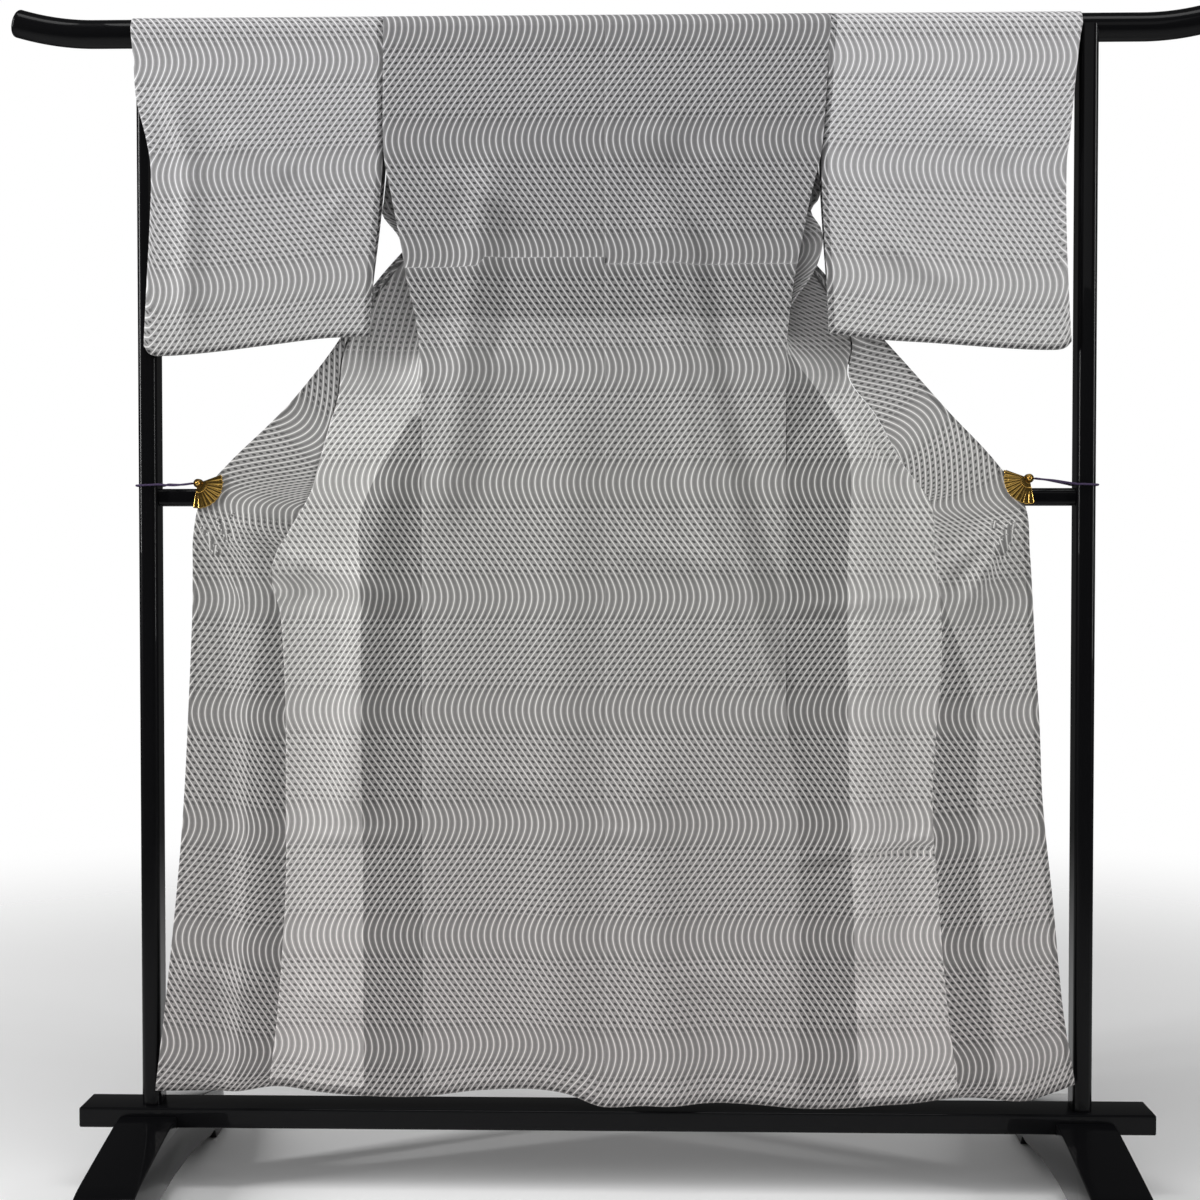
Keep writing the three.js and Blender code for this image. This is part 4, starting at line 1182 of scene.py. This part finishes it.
# %% Weave group
WAVE_PERIOD = 0.3335
WAVE_CREST = 0.217
WAVE_HALF = 0.045
WAVE_SHARP = 0.82
LINE_STEP = 0.0095
LINE_SHARE = 0.18
LINE_SOFT = 0.04
THREAD_PITCH = 0.0011
DOT_STEP = 0.0085
DOT_WIDTH = 0.0046
DOT_LENGTH = 0.0045
DOT_STRETCH = 2.2  # near a turn of the wave the dots run together and fade
DOT_FADE = 0.62


def weave_group():
    group = bpy.data.node_groups.new("wavy stripe and dots", "ShaderNodeTree")
    group.interface.new_socket("Cloth", in_out="INPUT", socket_type="NodeSocketVector")
    group.interface.new_socket("Shift", in_out="INPUT", socket_type="NodeSocketFloat")
    for name in ("Line", "Dot", "Thread"):
        group.interface.new_socket(name, in_out="OUTPUT", socket_type="NodeSocketFloat")
    nodes = group.nodes
    links = group.links
    inputs = nodes.new("NodeGroupInput")
    outputs = nodes.new("NodeGroupOutput")

    def calc(operation, a, b=0.0, c=0.0):
        node = nodes.new("ShaderNodeMath")
        node.operation = operation
        for socket, value in zip(node.inputs, (a, b, c)):
            if isinstance(value, (int, float)):
                socket.default_value = value
            else:
                links.new(value, socket)
        return node.outputs[0]

    parts = nodes.new("ShaderNodeSeparateXYZ")
    links.new(inputs.outputs["Cloth"], parts.inputs[0])
    u = parts.outputs[0]
    v = calc("ADD", parts.outputs[1], inputs.outputs["Shift"])
    angle = calc("MULTIPLY", calc("SUBTRACT", v, WAVE_CREST), 2 * math.pi / WAVE_PERIOD)
    swing = calc("MULTIPLY", calc("COSINE", angle), WAVE_SHARP)
    bend = calc("MULTIPLY", calc("ARCSINE", swing), WAVE_HALF / math.asin(WAVE_SHARP))
    lane = calc("DIVIDE", calc("SUBTRACT", u, bend), LINE_STEP)
    off = calc("ABSOLUTE", calc("SUBTRACT", calc("FRACT", lane), 0.5))

    def soft(value, low, high):
        node = nodes.new("ShaderNodeMapRange")
        node.interpolation_type = "SMOOTHSTEP"
        links.new(value, node.inputs["Value"])
        node.inputs["From Min"].default_value = low
        node.inputs["From Max"].default_value = high
        return node.outputs["Result"]

    # off is 0.5 on a line and 0 in the middle of a gap
    rim = 0.5 - LINE_SHARE / 2
    line = soft(off, rim - LINE_SOFT, rim + LINE_SOFT)
    turn = soft(calc("ABSOLUTE", calc("COSINE", angle)), 0.72, 0.98)
    step = calc("SUBTRACT", calc("FRACT", calc("DIVIDE", v, DOT_STEP)), 0.5)
    across_dot = calc("DIVIDE", calc("MULTIPLY", off, LINE_STEP), DOT_WIDTH / 2)
    stretch = calc("ADD", calc("MULTIPLY", turn, DOT_STRETCH), 1.0)
    along_dot = calc("DIVIDE", calc("MULTIPLY", step, 2 * DOT_STEP / DOT_LENGTH), stretch)
    across_squared = calc("POWER", across_dot, 2.0)
    along_squared = calc("MULTIPLY", along_dot, along_dot)
    round_dot = calc("SQRT", calc("ADD", across_squared, along_squared))
    dot = calc("SUBTRACT", 1.0, soft(round_dot, 0.78, 1.12))
    dots = calc("MULTIPLY", dot, calc("SUBTRACT", 1.0, calc("MULTIPLY", turn, DOT_FADE)))
    weft = calc("SINE", calc("MULTIPLY", u, 2 * math.pi / THREAD_PITCH))
    warp = calc("SINE", calc("MULTIPLY", v, 2 * math.pi / THREAD_PITCH))
    threads = calc("MULTIPLY", weft, warp)
    links.new(line, outputs.inputs["Line"])
    links.new(dots, outputs.inputs["Dot"])
    links.new(threads, outputs.inputs["Thread"])
    return group


# %% [markdown]
# ## Materials
#
# Silk is matt at a glance and shines at a slant, so it has a soft sheen over a rough base. The grey
# ground and the dots are painted darker where the cloth lies double and on the pieces set darker
# for how light falls on them: painted shade. Lacquer is nearly black under a clear coat. The clips
# are gilt brass, and the loops are a dark violet braid.

# %% Silk
def principled(name):
    material = bpy.data.materials.new(name)
    material.use_nodes = True
    nodes = material.node_tree.nodes
    shader = nodes.get("Principled BSDF")
    return material, nodes, material.node_tree.links, shader


def object_noise(nodes, links, scale):
    place_node = nodes.new("ShaderNodeTexCoord")
    noise = nodes.new("ShaderNodeTexNoise")
    noise.inputs["Scale"].default_value = scale
    links.new(place_node.outputs["Object"], noise.inputs["Vector"])
    return noise.outputs["Fac"]


# The DEEP colours are where the painted shade leads: doubled cloth and the darker-toned pieces are painted
# towards them.
LINE_PALE = (0.90, 0.90, 0.90, 1)
LINE_DEEP = (0.67, 0.67, 0.67, 1)
GROUND_PALE = (0.48, 0.48, 0.48, 1)
GROUND_DEEP = (0.215, 0.215, 0.215, 1)
DOT_PALE = (0.15, 0.15, 0.15, 1)
DOT_DEEP = (0.028, 0.028, 0.030, 1)
UPPER_TONE = 0.88
UPPER_TINT = (0.93, 0.92, 0.935, 1)
MIDDLE_TINT = (1.0, 0.985, 0.955, 1)
LOWER_TINT = (1.0, 0.952, 0.935, 1)


def silk_material():
    material, nodes, links, shader = principled("silk")
    uv = nodes.new("ShaderNodeUVMap")
    uv.uv_map = "cloth"
    weave = nodes.new("ShaderNodeGroup")
    weave.node_tree = weave_group()

    def stored(name):
        node = nodes.new("ShaderNodeAttribute")
        node.attribute_name = name
        return node.outputs["Fac"]

    def greater(a, b):
        node = nodes.new("ShaderNodeMath")
        node.operation = "MAXIMUM"
        links.new(a, node.inputs[0])
        links.new(b, node.inputs[1])
        return node.outputs[0]

    def ramp(value, low, high, to_low=0.0, to_high=1.0):
        node = nodes.new("ShaderNodeMapRange")
        links.new(value, node.inputs["Value"])
        node.inputs["From Min"].default_value = low
        node.inputs["From Max"].default_value = high
        node.inputs["To Min"].default_value = to_low
        node.inputs["To Max"].default_value = to_high
        return node.outputs["Result"]

    def blend(factor, first, second, mode="MIX"):
        node = nodes.new("ShaderNodeMix")
        node.data_type = "RGBA"
        node.blend_type = mode
        if isinstance(factor, float):
            node.inputs[0].default_value = factor
        else:
            links.new(factor, node.inputs[0])
        for socket, value in ((node.inputs[6], first), (node.inputs[7], second)):
            if isinstance(value, tuple):
                socket.default_value = value
            else:
                links.new(value, socket)
        return node.outputs[2]

    links.new(uv.outputs["UV"], weave.inputs["Cloth"])
    above = stored("above")
    links.new(ramp(above, -0.5, 0.5, 0.0, WAVE_PERIOD / 2), weave.inputs["Shift"])
    upper = ramp(above, -0.5, 0.5, 0.0, UPPER_TONE)
    band = ramp(stored("doubled"), -0.8, 0.8)
    # Painted shade: the darkest of the piece's tone, the greyer back above the tuck and the doubled bands.
    layered_painted_shade = greater(greater(stored("tone"), upper), band)
    ground = blend(layered_painted_shade, GROUND_PALE, GROUND_DEEP)
    dots = blend(layered_painted_shade, DOT_PALE, DOT_DEEP)
    lines = blend(layered_painted_shade, LINE_PALE, LINE_DEEP)
    coloured = blend(weave.outputs["Line"], blend(weave.outputs["Dot"], ground, dots), lines)
    place_node = nodes.new("ShaderNodeTexCoord")
    height = nodes.new("ShaderNodeSeparateXYZ")
    links.new(place_node.outputs["Object"], height.inputs[0])
    low_tint = blend(ramp(height.outputs["Z"], 0.25, 0.95), LOWER_TINT, MIDDLE_TINT)
    tint = blend(ramp(height.outputs["Z"], 1.05, 1.5), low_tint, UPPER_TINT)
    links.new(blend(1.0, coloured, tint, "MULTIPLY"), shader.inputs["Base Color"])
    bump = nodes.new("ShaderNodeBump")
    bump.inputs["Strength"].default_value = 0.12
    bump.inputs["Distance"].default_value = 0.0003
    links.new(weave.outputs["Thread"], bump.inputs["Height"])
    links.new(bump.outputs["Normal"], shader.inputs["Normal"])
    shader.inputs["Roughness"].default_value = 0.62
    shader.inputs["Specular IOR Level"].default_value = 0.35
    shader.inputs["Sheen Weight"].default_value = 0.25
    shader.inputs["Sheen Roughness"].default_value = 0.35
    return material


# %% Lacquer, gilt, elastic
def lacquer_material():
    material, nodes, links, shader = principled("lacquer")
    shader.inputs["Base Color"].default_value = (0.0035, 0.0035, 0.004, 1)
    shader.inputs["Roughness"].default_value = 0.3
    shader.inputs["Specular IOR Level"].default_value = 0.05
    shader.inputs["Coat Weight"].default_value = 1.0
    shader.inputs["Coat Roughness"].default_value = 0.02
    shader.inputs["Coat IOR"].default_value = 1.17
    noise = object_noise(nodes, links, 9.0)
    bump = nodes.new("ShaderNodeBump")
    bump.inputs["Strength"].default_value = 0.03
    bump.inputs["Distance"].default_value = 0.001
    links.new(noise, bump.inputs["Height"])
    links.new(bump.outputs["Normal"], shader.inputs["Coat Normal"])
    return material


def gilt_material():
    material, nodes, links, shader = principled("gilt")
    shader.inputs["Metallic"].default_value = 1.0
    noise = object_noise(nodes, links, 240.0)
    tone = nodes.new("ShaderNodeMapRange")
    tone.inputs["To Min"].default_value = 0.12
    tone.inputs["To Max"].default_value = 0.28
    links.new(noise, tone.inputs["Value"])
    links.new(tone.outputs["Result"], shader.inputs["Roughness"])
    shader.inputs["Base Color"].default_value = (0.55, 0.34, 0.085, 1)
    return material


def elastic_material():
    material, nodes, links, shader = principled("elastic")
    noise = object_noise(nodes, links, 900.0)
    mixed = nodes.new("ShaderNodeMix")
    mixed.data_type = "RGBA"
    mixed.inputs[6].default_value = (0.012, 0.008, 0.03, 1)
    mixed.inputs[7].default_value = (0.06, 0.03, 0.10, 1)
    links.new(noise, mixed.inputs[0])
    links.new(mixed.outputs[2], shader.inputs["Base Color"])
    shader.inputs["Roughness"].default_value = 0.75
    return material


SILK = silk_material()
FINISHES = {
    "lacquer": lacquer_material(),
    "gilt": gilt_material(),
    "elastic": elastic_material(),
}
SILK_PIECES = [body_left, body_right, okumi_left, okumi_right, sleeve_left, sleeve_right,
               collar_neck, collar_left, collar_right]
STAND_NAMES = ("top_rail", "post_left", "post_right", "mid_rail", "base_board", "foot_left", "foot_right")
for piece in SILK_PIECES:
    piece.data.materials.append(SILK)
for obj in bpy.data.objects:
    if obj.type != "MESH" or obj in SILK_PIECES or obj.name in frame["nodes"]:
        continue
    if obj.name.startswith("clip_cord"):
        obj.data.materials.append(FINISHES["elastic"])
    elif obj.name.startswith("clip_"):
        obj.data.materials.append(FINISHES["gilt"])
    elif obj.name.split(".")[0] in STAND_NAMES:
        obj.data.materials.append(FINISHES["lacquer"])
print("materials", [m.name for m in bpy.data.materials])

# %% [markdown]
# ## Floor and light
#
# A pale floor fades into the pale room, so there is no horizon. Two tall soft lights stand either
# side of us and draw one upright highlight each on the round edges of the posts. A weak light above us
# and one over the rail fill the cloth.

# %% Floor and light
bm = bmesh.new()
bmesh.ops.create_circle(bm, cap_ends=True, segments=96, radius=4.5)
floor_mesh = bpy.data.meshes.new("floor")
bm.to_mesh(floor_mesh)
bm.free()
floor = bpy.data.objects.new("floor", floor_mesh)
bpy.context.scene.collection.objects.link(floor)
floor_material, floor_nodes, floor_links, floor_shader = principled("pale floor")
floor_shader.inputs["Base Color"].default_value = (0.95, 0.95, 0.95, 1)
floor_shader.inputs["Roughness"].default_value = 0.6
floor_place = floor_nodes.new("ShaderNodeTexCoord")
floor_length = floor_nodes.new("ShaderNodeVectorMath")
floor_length.operation = "LENGTH"
floor_links.new(floor_place.outputs["Object"], floor_length.inputs[0])
floor_fade = floor_nodes.new("ShaderNodeMapRange")
floor_fade.interpolation_type = "SMOOTHSTEP"
floor_fade.inputs["From Min"].default_value = 0.9
floor_fade.inputs["From Max"].default_value = 3.6
floor_links.new(floor_length.outputs["Value"], floor_fade.inputs["Value"])
floor_clear = floor_nodes.new("ShaderNodeBsdfTransparent")
floor_mix = floor_nodes.new("ShaderNodeMixShader")
floor_links.new(floor_fade.outputs["Result"], floor_mix.inputs[0])
floor_links.new(floor_shader.outputs[0], floor_mix.inputs[1])
floor_links.new(floor_clear.outputs[0], floor_mix.inputs[2])
floor_out = floor_nodes.get("Material Output")
floor_links.new(floor_mix.outputs[0], floor_out.inputs["Surface"])
floor.data.materials.append(floor_material)

ROOM_SEEN = 1.0
ROOM_LIGHT = 0.25
ROOM_REFLECTED = 0.05


def room():
    """A white room to the eye, a dim one to the cloth, and a dark one in the lacquer's reflections."""
    world = bpy.data.worlds.new("room")
    world.use_nodes = True
    nodes = world.node_tree.nodes
    links = world.node_tree.links
    path = nodes.new("ShaderNodeLightPath")

    def level(switch, off, on):
        node = nodes.new("ShaderNodeMix")
        node.data_type = "FLOAT"
        links.new(switch, node.inputs[0])
        for socket, value in ((node.inputs[2], off), (node.inputs[3], on)):
            if isinstance(value, float):
                socket.default_value = value
            else:
                links.new(value, socket)
        return node.outputs[0]

    mirrored = level(path.outputs["Is Glossy Ray"], ROOM_LIGHT, ROOM_REFLECTED)
    nodes["Background"].inputs["Color"].default_value = (1, 1, 1, 1)
    seen = level(path.outputs["Is Camera Ray"], mirrored, ROOM_SEEN)
    links.new(seen, nodes["Background"].inputs["Strength"])
    bpy.context.scene.world = world


room()
bpy.context.scene.view_settings.view_transform = "Standard"


def soft_light(name, place_at, aim, size, power):
    light = bpy.data.lights.new(name, "AREA")
    light.shape = "RECTANGLE"
    light.size = size[0]
    light.size_y = size[1]
    light.energy = power
    lamp = bpy.data.objects.new(name, light)
    lamp.location = place_at
    lamp.rotation_euler = (Vector(aim) - Vector(place_at)).to_track_quat("-Z", "Y").to_euler()
    bpy.context.scene.collection.objects.link(lamp)


soft_light("left light", (-3.3, -1.25, 2.1), (0, 0, 1.0), (0.3, 2.4), 98)
soft_light("right light", (3.3, -1.3, 1.7), (0, 0, 1.0), (0.3, 2.2), 50)
soft_light("front light", (0.3, -3.4, 2.5), (0, 0, 1.0), (3.0, 1.4), 10)
soft_light("top light", (0, -0.8, 3.5), (0, 0, 0.8), (2.6, 0.8), 33)
